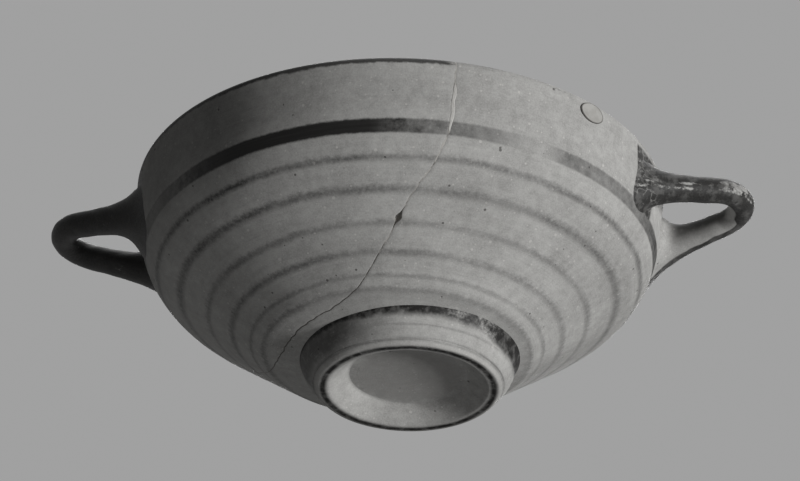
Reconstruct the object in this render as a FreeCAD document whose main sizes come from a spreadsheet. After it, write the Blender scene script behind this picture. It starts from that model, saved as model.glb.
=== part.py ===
"""Two-handled drinking cup (skyphos) of wheel-thrown clay, broken once and mended.

Millimetres. Z is the axis of the bowl, the foot rests on z = 0, +X runs through one handle
and -Y is the side that carries the mended break. The foot was luted on a little off the
bowl's axis, so it has its own centre.
"""
import FreeCAD, Part
import math
import os
import re

import Sketcher
from FreeCAD import Placement, Rotation, Vector

# ---------------------------------------------------------------- driving sizes
SIZES = [
    ("rim_radius", 90.2, "outer radius of the lip"),
    ("rim_height", 75.0, "top of the lip above the resting face"),
    ("wall", 4.4, "thickness of the bowl's wall, square to it"),
    ("lip_round", 1.9, "radius that rounds the lip's outer and inner edges"),
    ("belly_in", 3.2, "how far inside the lip the corner between bowl and upper wall lies"),
    ("belly_height", 44.0, "height of that corner"),
    ("belly_round", 30.0, "outer radius that softens that corner"),
    ("skirt_radius", 45.4, "where the flaring bowl starts, outside the foot"),
    ("skirt_height", 13.4, "height of that start"),
    ("seat_radius", 31.0, "radius of the bowl's underside where the foot is luted on"),
    ("seat_height", 9.5, "height of the underside there"),
    ("base_radius", 27.0, "radius of the flat underside inside the foot"),
    ("base_height", 5.5, "height of that flat underside, the depth of the foot's recess"),
    ("floor_height", 12.2, "top of the floor inside the bowl"),
    ("floor_round", 34.0, "radius between the floor and the flaring inner wall"),
    ("skirt_round", 14.0, "radius that softens the start of the flaring bowl"),
    ("foot_radius", 31.2, "outer radius of the foot at its resting edge"),
    ("foot_swell", 3.6, "how much wider the foot is at the middle of its wall"),
    ("foot_swell_height", 5.2, "height of that middle"),
    ("foot_flare", 5.6, "how much wider the foot is where it meets the bowl"),
    ("foot_top", 11.0, "height at which that width is reached"),
    ("foot_tuck", 2.6, "how far the foot's blank runs on above that, to be fitted to the bowl"),
    ("foot_round", 12.0, "radius of the foot wall's swell"),
    ("foot_inner", 26.8, "inner radius of the resting edge"),
    ("foot_throat", 20.2, "radius of the recess at its floor"),
    ("foot_edge", 0.7, "bevel of the resting edge"),
    ("foot_offset", 4.0, "how far the foot sits off the bowl's axis, towards +X"),
    ("handle_thick", 8.6, "diameter of the rolled handle"),
    ("handle_out", 27.8, "how far outside the lip the tip of the handle's centre line stands"),
    ("handle_nose", 12.3, "radius of the handle's centre line at its tip"),
    ("handle_spread", 20.9, "half the distance between the centres of a handle's two roots"),
    ("root_in", 3.0, "how far inside the lip's radius those roots are, from the YZ plane"),
    ("handle_drop", 14.0, "how far below the lip the handle's centre line starts at its roots"),
    ("handle_cant", 7.6, "degrees by which the handle rises towards its tip"),
    ("root_flare", 3.6, "how much the handle's radius grows where it is luted to the wall"),
    ("root_length", 12.0, "length of that growth along the arm"),
    ("root_depth", 9.0, "how far the arm runs on past its root, to be cut to the wall"),
    ("seam_thick", 0.4, "width of the glued break"),
    ("fill_width", 1.8, "width of the plaster that fills the break's worn edge"),
    ("fill_depth", 2.4, "depth of that plaster"),
    ("fill_rise", 6.0, "height of the plaster's lower end above the belly's corner"),
    ("fill_drop", 9.0, "how far below the lip the plaster's upper end lies"),
    ("label_long", 10.5, "length of the oval label along the rim"),
    ("label_high", 6.5, "height of the oval label"),
    ("label_thick", 0.6, "thickness of the label"),
    ("label_drop", 4.6, "how far below the lip the label's centre lies"),
    ("label_bearing", 37.3, "degrees round the bowl from +X towards -Y to the label"),
]

# The break in plan, from outside the rim beside the front (-Y), down past the foot's left
# side and up to the rim behind: each point's bearing in degrees from +X towards +Y, and its
# distance from the bowl's axis as a size and what is added to it.
BREAK_LINE = [
    (-71.2, "rim_radius", 20.0),
    (-70.4, "rim_radius", -0.4),
    (-72.4, "rim_radius", -6.1),
    (-77.2, "rim_radius", -15.3),
    (-84.1, "skirt_radius", 16.2),
    (-94.6, "skirt_radius", 3.5),
    (-110.5, "skirt_radius", -4.6),
    (-135.0, "skirt_radius", -7.2),
    (-166.5, "skirt_radius", -6.8),
    (-187.8, "skirt_radius", -1.0),
    (-202.9, "skirt_radius", 11.1),
    (-212.8, "rim_radius", -16.4),
    (-217.6, "rim_radius", -0.4),
    (-218.2, "rim_radius", 20.0),
]
RIM_POINT = 1
PLASTER_LOW = "(belly_height + fill_rise)"
PLASTER_TOP = "(rim_height - fill_drop)"
LABEL_MIDDLE = "(rim_height - label_drop)"

doc = FreeCAD.newDocument("skyphos")
sheet = doc.addObject("Spreadsheet::Sheet", "Sizes")
for row, (alias, value, note) in enumerate(SIZES, start=1):
    sheet.set("A%d" % row, alias)
    sheet.set("B%d" % row, str(value))
    sheet.setAlias("B%d" % row, alias)
    sheet.set("C%d" % row, note)
doc.recompute()


def size(alias):
    """The value of one driving size, read from the sheet."""
    return float(sheet.get(alias))


def evaluate(expression):
    """The present value of an expression on the sheet's names."""
    return float(sheet.evalExpression(expression))


def tie(item, place, expression):
    """Binds a property of an object to an expression on the sheet's names."""
    names = {alias for alias, _, _ in SIZES}
    full = re.sub(r"[a-z_]+", lambda m: "Sizes." * (m.group() in names) + m.group(), expression)
    item.setExpression(place, full)


def origin_plane(body, role):
    """One of a body's own origin planes."""
    return next(item for item in body.Origin.OriginFeatures if item.Role == role)


def new_sketch(body, name, role):
    """An empty sketch on one of the body's origin planes."""
    sketch = body.newObject("Sketcher::SketchObject", name)
    sketch.AttachmentSupport = [(origin_plane(body, role), "")]
    sketch.MapMode = "FlatFace"
    return sketch


def bind(sketch, kind, geometry, expression):
    """Adds a dimension to a sketch and binds it to an expression on the sheet."""
    value = evaluate(expression)
    number = sketch.addConstraint(Sketcher.Constraint(kind, *geometry, value))
    name = "d%d" % number
    sketch.renameConstraint(number, name)
    tie(sketch, "Constraints." + name, expression)


# ---------------------------------------------------------------- outlines of revolution
def polyline(sketch, points, rounds=None):
    """A closed outline in a sketch: straight sides through points given as pairs of
    expressions (radius, height), with some corners rounded.

    Each corner's place is bound to the sheet through a construction point, and its two
    sides either meet there or end on the tangent arc that rounds it.
    """
    rounds = rounds or {}
    values = [(evaluate(r), evaluate(z)) for r, z in points]
    count = len(points)
    corner = []
    for number, (r, z) in enumerate(values):
        index = sketch.addGeometry(Part.Point(Vector(r, z, 0)), True)
        corner.append(index)
        bind(sketch, "DistanceX", (-1, 1, index, 1), points[number][0])
        bind(sketch, "DistanceY", (-1, 1, index, 1), points[number][1])
    ends = {number: corner_points(values, number, evaluate(rounds[number])) for number in rounds}
    sides = []
    for number in range(count):
        after = (number + 1) % count
        start = ends[number][1] if number in rounds else values[number]
        stop = ends[after][0] if after in rounds else values[after]
        line = Part.LineSegment(Vector(*start, 0), Vector(*stop, 0))
        sides.append(sketch.addGeometry(line, False))
    for number in range(count):
        before, after = sides[number - 1], sides[number]
        if number not in rounds:
            sketch.addConstraint(Sketcher.Constraint("Coincident", before, 2, corner[number], 1))
            sketch.addConstraint(Sketcher.Constraint("Coincident", after, 1, corner[number], 1))
            continue
        start, stop, centre, radius, turn = ends[number]
        circle = Part.Circle(Vector(*centre, 0), Vector(0, 0, 1), radius)
        first = math.atan2(start[1] - centre[1], start[0] - centre[0])
        last = math.atan2(stop[1] - centre[1], stop[0] - centre[0])
        if turn < 0:
            first, last = last, first
        arc = sketch.addGeometry(Part.ArcOfCircle(circle, first, last), False)
        near, far = (1, 2) if turn > 0 else (2, 1)
        sketch.addConstraint(Sketcher.Constraint("Tangent", before, 2, arc, near))
        sketch.addConstraint(Sketcher.Constraint("Tangent", arc, far, after, 1))
        sketch.addConstraint(Sketcher.Constraint("PointOnObject", corner[number], 1, before))
        sketch.addConstraint(Sketcher.Constraint("PointOnObject", corner[number], 1, after))
        bind(sketch, "Radius", (arc,), rounds[number])


def corner_points(values, number, radius):
    """Where an arc of this radius leaves the two sides of a corner, and its centre."""
    corner = Vector(*values[number], 0)
    back = (Vector(*values[number - 1], 0) - corner).normalize()
    ahead = (Vector(*values[(number + 1) % len(values)], 0) - corner).normalize()
    half = back.getAngle(ahead) / 2
    reach = radius / math.tan(half)
    start = corner + back * reach
    stop = corner + ahead * reach
    centre = corner + (back + ahead).normalize() * (radius / math.sin(half))
    turn = (corner - start).cross(stop - corner).z
    return (start.x, start.y), (stop.x, stop.y), (centre.x, centre.y), radius, turn


def revolved(name, points, rounds=None):
    """A body turned about Z from a closed outline of (radius, height) expressions."""
    body = doc.addObject("PartDesign::Body", name)
    sketch = new_sketch(body, name + "_outline", "XZ_Plane")
    polyline(sketch, points, rounds)
    turned = body.newObject("PartDesign::Revolution", name + "_turned")
    turned.Profile = sketch
    turned.ReferenceAxis = (sketch, ["V_Axis"])
    turned.Angle = 360
    doc.recompute()
    return body


# Slopes and offsets of the wall, as expressions on the sheet. The upper wall leans outwards
# from the vertical, the bowl below it flares, and the inner side runs parallel to both.
BELLY_RADIUS = "(rim_radius - belly_in)"
LEAN = "belly_in / (rim_height - belly_height)"
FLARE = "(belly_height - skirt_height) / (%s - skirt_radius)" % BELLY_RADIUS
ACROSS = "(wall * sqrt(1 + (%s) ^ 2))" % LEAN
ABOVE = "(wall * sqrt(1 + (%s) ^ 2))" % FLARE
INNER_IN = "((%s - (%s) * %s) / (1 - (%s) * (%s)))" % (ACROSS, LEAN, ABOVE, LEAN, FLARE)
INNER_UP = "(%s - (%s) * %s)" % (ABOVE, FLARE, INNER_IN)
FLOOR_RADIUS = "(%s - (belly_height + %s - floor_height) / (%s))" % (BELLY_RADIUS, ABOVE, FLARE)


def wall_radius(height):
    """The outer radius of the upper wall at a height, as an expression."""
    return "rim_radius - (rim_height - (%s)) * (%s)" % (height, LEAN)


OUTSIDE = [
    ("base_radius", "base_height"),
    ("seat_radius", "seat_height"),
    ("skirt_radius", "skirt_height"),
    (BELLY_RADIUS, "belly_height"),
    ("rim_radius", "rim_height"),
]
INSIDE = [
    ("rim_radius - %s" % ACROSS, "rim_height"),
    ("%s - %s" % (BELLY_RADIUS, INNER_IN), "belly_height + %s" % INNER_UP),
    (FLOOR_RADIUS, "floor_height"),
]
OUTSIDE_ROUNDS = {3: "skirt_round", 4: "belly_round", 5: "lip_round"}
INSIDE_ROUNDS = {6: "lip_round", 7: "belly_round - wall", 8: "floor_round"}

# ---------------------------------------------------------------- the bowl and its foot
bowl_blank = revolved(
    "bowl_blank",
    [("0", "base_height")] + OUTSIDE + INSIDE + [("0", "floor_height")],
    {**OUTSIDE_ROUNDS, **INSIDE_ROUNDS},
)
bowl_outside = revolved(
    "bowl_outside",
    [("0", "base_height")] + OUTSIDE + [("0", "rim_height")],
    OUTSIDE_ROUNDS,
)
foot_blank = revolved(
    "foot_blank",
    [
        ("foot_inner", "0"),
        ("foot_radius - foot_edge", "0"),
        ("foot_radius", "foot_edge"),
        ("foot_radius + foot_swell", "foot_swell_height"),
        ("foot_radius + foot_flare", "foot_top"),
        ("foot_radius + foot_flare", "foot_top + foot_tuck"),
        ("foot_throat", "foot_top + foot_tuck"),
        ("foot_throat", "base_height"),
    ],
    {3: "foot_round"},
)
tie(foot_blank, "Placement.Base.x", "foot_offset")


def shaped(kind, name, base, tool):
    """A boolean of two objects of the document: what is left of base, or what they share."""
    result = doc.addObject("Part::" + kind, name)
    result.Base = base
    result.Tool = tool
    result.Label = name
    return result


foot_ring = shaped("Cut", "foot_ring", foot_blank, bowl_outside)


# ---------------------------------------------------------------- the handles
HANDLE_REACH = "(rim_radius + handle_out)"
HANDLE_ROOT = "(rim_radius - root_in)"
HANDLE_RISE = "rim_height - handle_drop - %s * tan(handle_cant * 1 deg)" % HANDLE_ROOT


def handle_loop(name):
    """A rolled bar bent to a loop, with its roots swelling towards the wall.

    Half of the loop is made, from its tip at y = 0 to the root on the +Y side, and mirrored.
    """
    body = doc.addObject("PartDesign::Body", name)
    path = new_sketch(body, name + "_path", "XY_Plane")
    reach, nose = evaluate(HANDLE_REACH), size("handle_nose")
    root = Vector(evaluate(HANDLE_ROOT), size("handle_spread"), 0)
    centre = Vector(reach - nose, 0, 0)
    tilt = math.atan2(root.y, centre.x - root.x) - math.asin(nose / (centre - root).Length)
    touch = centre + Vector(math.sin(tilt), math.cos(tilt), 0) * nose
    run = Vector(-math.cos(tilt), math.sin(tilt), 0)
    inner = root + run * size("root_depth")
    circle = Part.Circle(centre, Vector(0, 0, 1), nose)
    arc = path.addGeometry(Part.ArcOfCircle(circle, 0, math.pi / 2 - tilt), False)
    arm = path.addGeometry(Part.LineSegment(touch, inner), False)
    seat = path.addGeometry(Part.Point(root), True)
    path.addConstraint(Sketcher.Constraint("PointOnObject", arc, 1, -1))
    path.addConstraint(Sketcher.Constraint("PointOnObject", arc, 3, -1))
    path.addConstraint(Sketcher.Constraint("Tangent", arc, 2, arm, 1))
    path.addConstraint(Sketcher.Constraint("PointOnObject", seat, 1, arm))
    bind(path, "DistanceX", (-1, 1, arc, 1), HANDLE_REACH)
    bind(path, "Radius", (arc,), "handle_nose")
    bind(path, "DistanceX", (-1, 1, seat, 1), HANDLE_ROOT)
    bind(path, "DistanceY", (-1, 1, seat, 1), "handle_spread")
    bind(path, "Distance", (seat, 1, arm, 2), "root_depth")

    section = new_sketch(body, name + "_section", "XZ_Plane")
    round_bar = Part.Circle(Vector(reach, 0, 0), Vector(0, 0, 1), size("handle_thick") / 2)
    ring = section.addGeometry(round_bar, False)
    section.addConstraint(Sketcher.Constraint("PointOnObject", ring, 3, -1))
    bind(section, "DistanceX", (-1, 1, ring, 3), HANDLE_REACH)
    bind(section, "Diameter", (ring,), "handle_thick")
    doc.recompute()

    bar = body.newObject("PartDesign::AdditivePipe", name + "_bar")
    bar.Profile = section
    bar.Spine = path
    doc.recompute()

    swell = new_sketch(body, name + "_root", "XY_Plane")
    thin = size("handle_thick") / 2
    thick = thin + size("root_flare")
    aside = Vector(run.y, -run.x, 0)
    near = root - run * size("root_length")
    corners = [near, near + aside * thin, root + aside * thick, inner + aside * thick, inner]
    lines = []
    for number, point in enumerate(corners):
        after = corners[(number + 1) % len(corners)]
        lines.append(swell.addGeometry(Part.LineSegment(point, after), False))
    for number, line in enumerate(lines):
        after = lines[(number + 1) % len(lines)]
        swell.addConstraint(Sketcher.Constraint("Coincident", line, 2, after, 1))
    axis = lines[-1]
    foot = swell.addGeometry(Part.Point(root), True)
    middle = swell.addGeometry(Part.Point(centre), True)
    swell.addConstraint(Sketcher.Constraint("PointOnObject", foot, 1, axis))
    swell.addConstraint(Sketcher.Constraint("PointOnObject", middle, 1, -1))
    swell.addConstraint(Sketcher.Constraint("Perpendicular", lines[0], axis))
    swell.addConstraint(Sketcher.Constraint("Parallel", lines[2], axis))
    swell.addConstraint(Sketcher.Constraint("Perpendicular", lines[3], axis))
    bind(swell, "DistanceX", (-1, 1, foot, 1), HANDLE_ROOT)
    bind(swell, "DistanceY", (-1, 1, foot, 1), "handle_spread")
    bind(swell, "DistanceX", (-1, 1, middle, 1), HANDLE_REACH + " - handle_nose")
    bind(swell, "Distance", (middle, 1, axis), "handle_nose")
    bind(swell, "Distance", (foot, 1, axis, 2), "root_length")
    bind(swell, "Distance", (foot, 1, axis, 1), "root_depth")
    bind(swell, "Distance", (axis, 2, lines[0], 2), "handle_thick / 2")
    bind(swell, "Distance", (axis, 1, lines[2], 2), "handle_thick / 2 + root_flare")
    bind(swell, "Distance", (lines[2], 1, lines[2], 2), "root_depth")
    root_swell = body.newObject("PartDesign::Revolution", name + "_swell")
    root_swell.Profile = swell
    root_swell.ReferenceAxis = (swell, ["Edge%d" % (lines.index(axis) + 1)])
    root_swell.Angle = 360
    doc.recompute()

    both = body.newObject("PartDesign::Mirrored", name + "_both")
    both.Originals = [bar, root_swell]
    both.MirrorPlane = (origin_plane(body, "XZ_Plane"), [""])
    body.Tip = both
    body.Placement = Placement(Vector(0, 0, 0), Rotation(Vector(0, -1, 0), size("handle_cant")))
    tie(body, "Placement.Rotation.Angle", "handle_cant * 1 deg")
    tie(body, "Placement.Base.z", HANDLE_RISE)
    doc.recompute()
    return body


right_loop = handle_loop("handle_loop")
left_loop = doc.addObject("Part::Mirroring", "handle_loop_left")
left_loop.Source = right_loop
left_loop.Normal = Vector(1, 0, 0)
handle_right = shaped("Cut", "handle_right", right_loop, bowl_outside)
handle_left = shaped("Cut", "handle_left", left_loop, bowl_outside)


# ---------------------------------------------------------------- the break and its mend
def shifted(points, distance):
    """The curve through the points, after each has moved sideways, to its left."""
    curve = Part.BSplineCurve()
    curve.interpolate([Vector(x, y, 0) for x, y in points])
    moved = []
    for x, y in points:
        run = curve.tangent(curve.parameter(Vector(x, y, 0)))[0].normalize()
        moved.append(Vector(x - run.y * distance, y + run.x * distance, 0))
    side = Part.BSplineCurve()
    side.interpolate(moved)
    return side.toShape()


def prism(name, edges):
    """An upright block as tall as the bowl on a closed plan outline."""
    base = Part.Face(Part.Wire(edges))
    feature = doc.addObject("Part::Feature", name)
    feature.Shape = base.extrude(Vector(0, 0, size("rim_height")))
    feature.Label = name
    return feature


def side_region(name, curve):
    """A block that holds the whole of the bowl to the left side (-X) of the break."""
    far = 2 * size("rim_radius")
    first, last = curve.Vertexes[0].Point, curve.Vertexes[-1].Point
    corners = [last, Vector(-far, last.y, 0), Vector(-far, first.y, 0), first]
    return prism(name, [curve] + Part.makePolygon(corners).Edges)


def blade_region(name, left, right):
    """A thin block between the two sides of the break."""
    ends = [
        Part.LineSegment(left.Vertexes[0].Point, right.Vertexes[0].Point).toShape(),
        Part.LineSegment(left.Vertexes[-1].Point, right.Vertexes[-1].Point).toShape(),
    ]
    return prism(name, Part.__sortEdges__([left, right] + ends))


def break_point(bearing, radius, more):
    """One point of the break in plan."""
    angle = math.radians(bearing)
    reach = size(radius) + more
    return reach * math.cos(angle), reach * math.sin(angle)


break_line = [break_point(*place) for place in BREAK_LINE]
break_left = shifted(break_line, size("seam_thick") / 2)
break_right = shifted(break_line, -size("seam_thick") / 2)
left_side = side_region("left_side", break_left)
left_and_seam = side_region("left_and_seam", break_right)
break_gap = blade_region("break_gap", break_left, break_right)

worn_edge = doc.addObject("Part::Box", "worn_edge")
tie(worn_edge, "Length", "fill_depth * 3")
tie(worn_edge, "Width", "fill_width")
tie(worn_edge, "Height", PLASTER_TOP + " - " + PLASTER_LOW)
turn = Rotation(Vector(0, 0, 1), BREAK_LINE[RIM_POINT][0])
plaster_middle = "(%s + %s) / 2" % (PLASTER_LOW, PLASTER_TOP)
inner_face = evaluate(wall_radius(plaster_middle) + " - fill_depth")
corner = turn.multVec(Vector(inner_face, -size("fill_width") / 2, evaluate(PLASTER_LOW)))
worn_edge.Placement = Placement(corner, turn)

main_rough = shaped("Cut", "main_rough", bowl_blank, left_and_seam)
sherd_rough = shaped("Common", "sherd_rough", bowl_blank, left_side)
seam_rough = shaped("Common", "seam_rough", bowl_blank, break_gap)
bowl_main = shaped("Cut", "bowl_main", main_rough, worn_edge)
bowl_left_sherd = shaped("Cut", "bowl_left_sherd", sherd_rough, worn_edge)
mend_seam = shaped("Cut", "mend_seam", seam_rough, worn_edge)
crack_fill = shaped("Common", "crack_fill", bowl_blank, worn_edge)

# ---------------------------------------------------------------- the label on the wall
LABEL_LOW = LABEL_MIDDLE + " - label_high"
LABEL_TOP = LABEL_MIDDLE + " + label_high / 2"
label_band = revolved(
    "label_band",
    [
        (wall_radius(LABEL_LOW), LABEL_LOW),
        (wall_radius(LABEL_LOW) + " + label_thick", LABEL_LOW),
        (wall_radius(LABEL_TOP) + " + label_thick", LABEL_TOP),
        (wall_radius(LABEL_TOP), LABEL_TOP),
    ],
)
label_oval = doc.addObject("PartDesign::Body", "label_oval")
oval = new_sketch(label_oval, "oval_outline", "YZ_Plane")
oval_centre = Vector(0, evaluate(LABEL_MIDDLE), 0)
oval_edge = oval.addGeometry(
    Part.Ellipse(oval_centre, size("label_long") / 2, size("label_high") / 2), False
)
oval.exposeInternalGeometry(oval_edge)
long_axis, short_axis = oval_edge + 1, oval_edge + 2
oval.addConstraint(Sketcher.Constraint("Horizontal", long_axis))
oval.addConstraint(Sketcher.Constraint("PointOnObject", oval_edge, 3, -2))
bind(oval, "DistanceY", (-1, 1, oval_edge, 3), LABEL_MIDDLE)
bind(oval, "Distance", (long_axis, 1, long_axis, 2), "label_long")
bind(oval, "Distance", (short_axis, 1, short_axis, 2), "label_high")
punch = label_oval.newObject("PartDesign::Pad", "oval_punch")
punch.Profile = oval
tie(punch, "Length", "rim_radius + label_thick + wall")
label_oval.Placement = Placement(Vector(0, 0, 0), Rotation(Vector(0, 0, -1), size("label_bearing")))
tie(label_oval, "Placement.Rotation.Angle", "label_bearing * 1 deg")
wall_label = shaped("Common", "wall_label", label_band, label_oval)

# ---------------------------------------------------------------- checks and files
PIECES = [
    bowl_main,
    bowl_left_sherd,
    foot_ring,
    handle_left,
    handle_right,
    mend_seam,
    crack_fill,
    wall_label,
]

doc.recompute()
for item in doc.Objects:
    if "Invalid" in item.State or "Error" in item.State:
        raise RuntimeError("%s did not build: %s" % (item.Name, item.State))
for piece in PIECES:
    shape = piece.Shape
    if shape.isNull() or not shape.isValid():
        raise RuntimeError("%s has no sound shape" % piece.Label)
    if len(shape.Solids) != 1:
        raise RuntimeError("%s is %d solids" % (piece.Label, len(shape.Solids)))
    print("%-16s volume %9.1f  box %s" % (piece.Label, shape.Volume, shape.BoundBox))

os.makedirs("parts", exist_ok=True)
for piece in PIECES:
    piece.Shape.exportStep(os.path.join("parts", piece.Label + ".step"))
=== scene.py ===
# %% [markdown]
# # A two-handled drinking cup: thrown, painted, broken and mended
#
# This script dresses a measured model of a clay cup. The measured model, the *frame*, gives the place
# of every piece. Here each piece gets the shape a potter's hand and a long life give it, and its finish.
# The cup stands upright on z = 0, its handles point along X, and the mended break is on the -Y side.

import math

import bmesh
import bpy
import numpy as np
from mathutils import Matrix


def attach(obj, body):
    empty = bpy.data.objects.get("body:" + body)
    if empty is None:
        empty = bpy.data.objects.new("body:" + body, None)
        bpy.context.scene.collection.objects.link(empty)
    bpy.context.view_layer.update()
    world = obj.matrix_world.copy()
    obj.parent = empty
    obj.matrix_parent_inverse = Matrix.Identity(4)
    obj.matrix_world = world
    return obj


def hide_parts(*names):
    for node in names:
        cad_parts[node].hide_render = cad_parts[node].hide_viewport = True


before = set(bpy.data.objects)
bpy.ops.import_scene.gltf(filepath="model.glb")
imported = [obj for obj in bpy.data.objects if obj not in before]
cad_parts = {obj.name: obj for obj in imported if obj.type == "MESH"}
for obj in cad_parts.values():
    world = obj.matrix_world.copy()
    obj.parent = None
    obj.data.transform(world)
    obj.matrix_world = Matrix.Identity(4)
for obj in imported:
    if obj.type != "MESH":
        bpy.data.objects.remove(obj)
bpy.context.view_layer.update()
MM = 0.001
print("pieces of the frame:", ", ".join(sorted(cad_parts)))

# %% [markdown]
# ## The camera
# A camera can be placed by eye, or worked out from the picture: the circles of the rim, the painted
# rings and the foot show as ellipses, and their widths and tilts give the distance and the direction.
# The cup was photographed from below, foot first,
# with a long lens, so the camera is low, tilted up, and far away.

# %% The camera
LOOK_UP = math.radians(30.2)       # how far the camera looks up at the foot
SIDE_TURN = math.radians(8.5)      # how far the camera stands round from the cup's front
ROLL = math.radians(1.2)           # how far the picture is turned
DISTANCE = 1.5                     # from the camera to the aimed point on the axis
AIM_HEIGHT = 0.030                 # height of that point
AIM_PIXEL = (398.0, 311.0)         # where that point shows in the picture
PIXELS_PER_METRE = 2960.0          # scale of the picture at that point
PICTURE = (800, 481)
SENSOR = 36.0


def turned_about_z(vector, angle):
    """The vector turned about Z: x cos - y sin, x sin + y cos."""
    x, y, z = vector
    return np.array([x * math.cos(angle) - y * math.sin(angle), x * math.sin(angle) + y * math.cos(angle), z])


back = np.array([0, -math.cos(LOOK_UP), -math.sin(LOOK_UP)])
level_up = np.array([0, -math.sin(LOOK_UP), math.cos(LOOK_UP)])
right = np.array([math.cos(ROLL), 0, 0]) + math.sin(ROLL) * level_up
up = -np.array([math.sin(ROLL), 0, 0]) + math.cos(ROLL) * level_up
aside = (AIM_PIXEL[0] - PICTURE[0] / 2) / PIXELS_PER_METRE
below = (AIM_PIXEL[1] - (PICTURE[1] - 1) / 2) / PIXELS_PER_METRE
stand = np.array([0, 0, AIM_HEIGHT]) + DISTANCE * back - aside * right + below * up
axes = [turned_about_z(v, SIDE_TURN) for v in (right, up, back)]
pose = Matrix(np.column_stack(axes).tolist()).to_4x4()
pose.translation = turned_about_z(stand, SIDE_TURN)

lens = bpy.data.cameras.new("camera")
lens.sensor_width = SENSOR
lens.lens = PIXELS_PER_METRE * DISTANCE / PICTURE[0] * SENSOR
camera = bpy.data.objects.new("camera", lens)
camera.matrix_world = pose
bpy.context.collection.objects.link(camera)
bpy.context.scene.camera = camera
print("camera at", [round(v, 3) for v in pose.translation], "lens", round(lens.lens, 1))

# %% [markdown]
# ## The section of the bowl
# A thrown bowl is one outline turned about an axis, so the whole wall can be described by its section:
# the underside, the flaring outside, the steep upper wall, the round lip, and back down the inside.
# Straight runs joined by arcs are how a potter's rib leaves it, and they are easy to measure.

# %% The section as a table
SECTION = np.array([
    (0, 5.5), (27, 5.5), (31, 9.5), (45.4, 13.4), (87, 44), (90.2, 75),
    (85.78, 75), (82.82, 46.39), (36.34, 12.2), (0, 12.2),
])                                 # corners, radius and height in mm
SECTION_ROUNDS = {3: 14, 4: 30, 5: 1.9, 6: 1.9, 7: 25.6, 8: 34}
FINE = 0.05                        # spacing of the table, mm
LIP_MIDDLE, LIP_HEIGHT = 88, 75    # radius and height of the lip's middle, mm


def unit(vector):
    """The vector divided by its length."""
    return vector / np.linalg.norm(vector)


def rounded_line(corners, rounds):
    """Closely spaced points along straight runs whose corners are rounded.

    An arc of radius R at a corner of half angle h leaves the sides R / tan h before the corner and
    turns about the point R / sin h along the angle's bisector.
    """
    runs, last = [], corners[0]
    for number in range(1, len(corners)):
        corner, radius = corners[number], rounds.get(number, 0)
        if not radius:
            start = stop = corner
        else:
            before, after = unit(corners[number - 1] - corner), unit(corners[number + 1] - corner)
            half = math.acos(before @ after) / 2
            start, stop = corner + before * radius / math.tan(half), corner + after * radius / math.tan(half)
        steps = max(2, int(np.linalg.norm(start - last) / FINE))
        runs.append(last + (start - last) * np.linspace(0, 1, steps, endpoint=False)[:, None])
        if radius:
            middle = corner + unit(before + after) * radius / math.sin(half)
            first, turn = start - middle, math.pi - 2 * half
            turn *= np.sign(first[0] * (stop - middle)[1] - first[1] * (stop - middle)[0])
            angle = np.linspace(0, turn, max(4, int(abs(turn) * radius / FINE)), endpoint=False)[:, None]
            across = np.array([-first[1], first[0]])
            runs.append(middle + first * np.cos(angle) + across * np.sin(angle))
        last = stop
    return np.vstack(runs + [last[None]])


def run_length(points):
    """The distance along a line of points, from its first point."""
    steps = np.linalg.norm(np.diff(points, axis=0), axis=1)
    return np.concatenate([[0], np.cumsum(steps)])


section = rounded_line(SECTION, SECTION_ROUNDS)
travel = run_length(section)
lip_at = travel[np.argmin(abs(section[:, 0] - LIP_MIDDLE) + 5 * abs(section[:, 1] - LIP_HEIGHT))]
slope = np.gradient(section, travel, axis=0)
kernel = np.ones(25) / 25
slope = np.column_stack([np.convolve(np.pad(slope[:, k], 12, mode="edge"), kernel, "valid") for k in (0, 1)])
slope /= np.linalg.norm(slope, axis=1)[:, None]


def radius_at(along):
    """The section's radius at a distance along it."""
    return np.interp(along, travel, section[:, 0])


def height_at(along):
    """The section's height at a distance along it."""
    return np.interp(along, travel, section[:, 1])


print("section: %.1f mm to the lip, %.1f mm in all" % (lip_at, travel[-1]))

# %% [markdown]
# ## Hand-made unevenness
# A thrown wall is never a perfect surface. The fingers leave shallow rings, and the drying pot warps a
# little. Noise could be random at each point, but sums of a few sine waves with fixed random phases are
# smooth, repeat exactly round the pot, and give the same cup every time the script runs.

# %% Smooth unevenness and points on the bowl


def waves(values, lengths, seed):
    """A smooth uneven line: the mean of sine waves of the given lengths, with phases set by the seed."""
    phases = np.random.default_rng(seed).uniform(0, 2 * np.pi, len(lengths))
    each = [np.sin(2 * np.pi * values / length + phase) for length, phase in zip(lengths, phases)]
    return sum(each) / len(lengths)


def throwing_rings(around, along):
    """Height in mm of the finger rings: waves along the section, whose strength drifts round the pot."""
    inside = along > lip_at
    rings = np.where(inside, 0.16, 0.07) * waves(along, (3.7, 5.3, 8.9, 13.0), 3)
    drift = 1 + 0.4 * np.sin(np.radians(around) + along / 17.0)
    near_lip = np.clip(abs(along - lip_at) / 6, 0, 1)
    return rings * drift * near_lip * np.clip(np.minimum(along, travel[-1] - along) / 12, 0, 1)


def on_bowl(around, along, lift=0.0):
    """Points on the bowl, in mm: the section's point at a distance along it, turned about Z by the
    bearing in degrees, and moved off the surface by the lift and the finger rings."""
    around, along = np.broadcast_arrays(np.asarray(around, float), np.asarray(along, float))
    radius, height = radius_at(along), height_at(along)
    out_radius, out_height = np.interp(along, travel, slope[:, 1]), -np.interp(along, travel, slope[:, 0])
    lift = lift + throwing_rings(around, along)
    angle = np.radians(around)
    warp = 1 + 0.0012 * np.cos(2 * (angle - 0.7)) * (height / 75) ** 2
    radius = (radius + out_radius * lift) * warp
    return np.stack([radius * np.cos(angle), radius * np.sin(angle), height + out_height * lift], axis=-1)


print("the lip at bearing 0, mm:", np.round(on_bowl(0, lip_at), 2).tolist())

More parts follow.
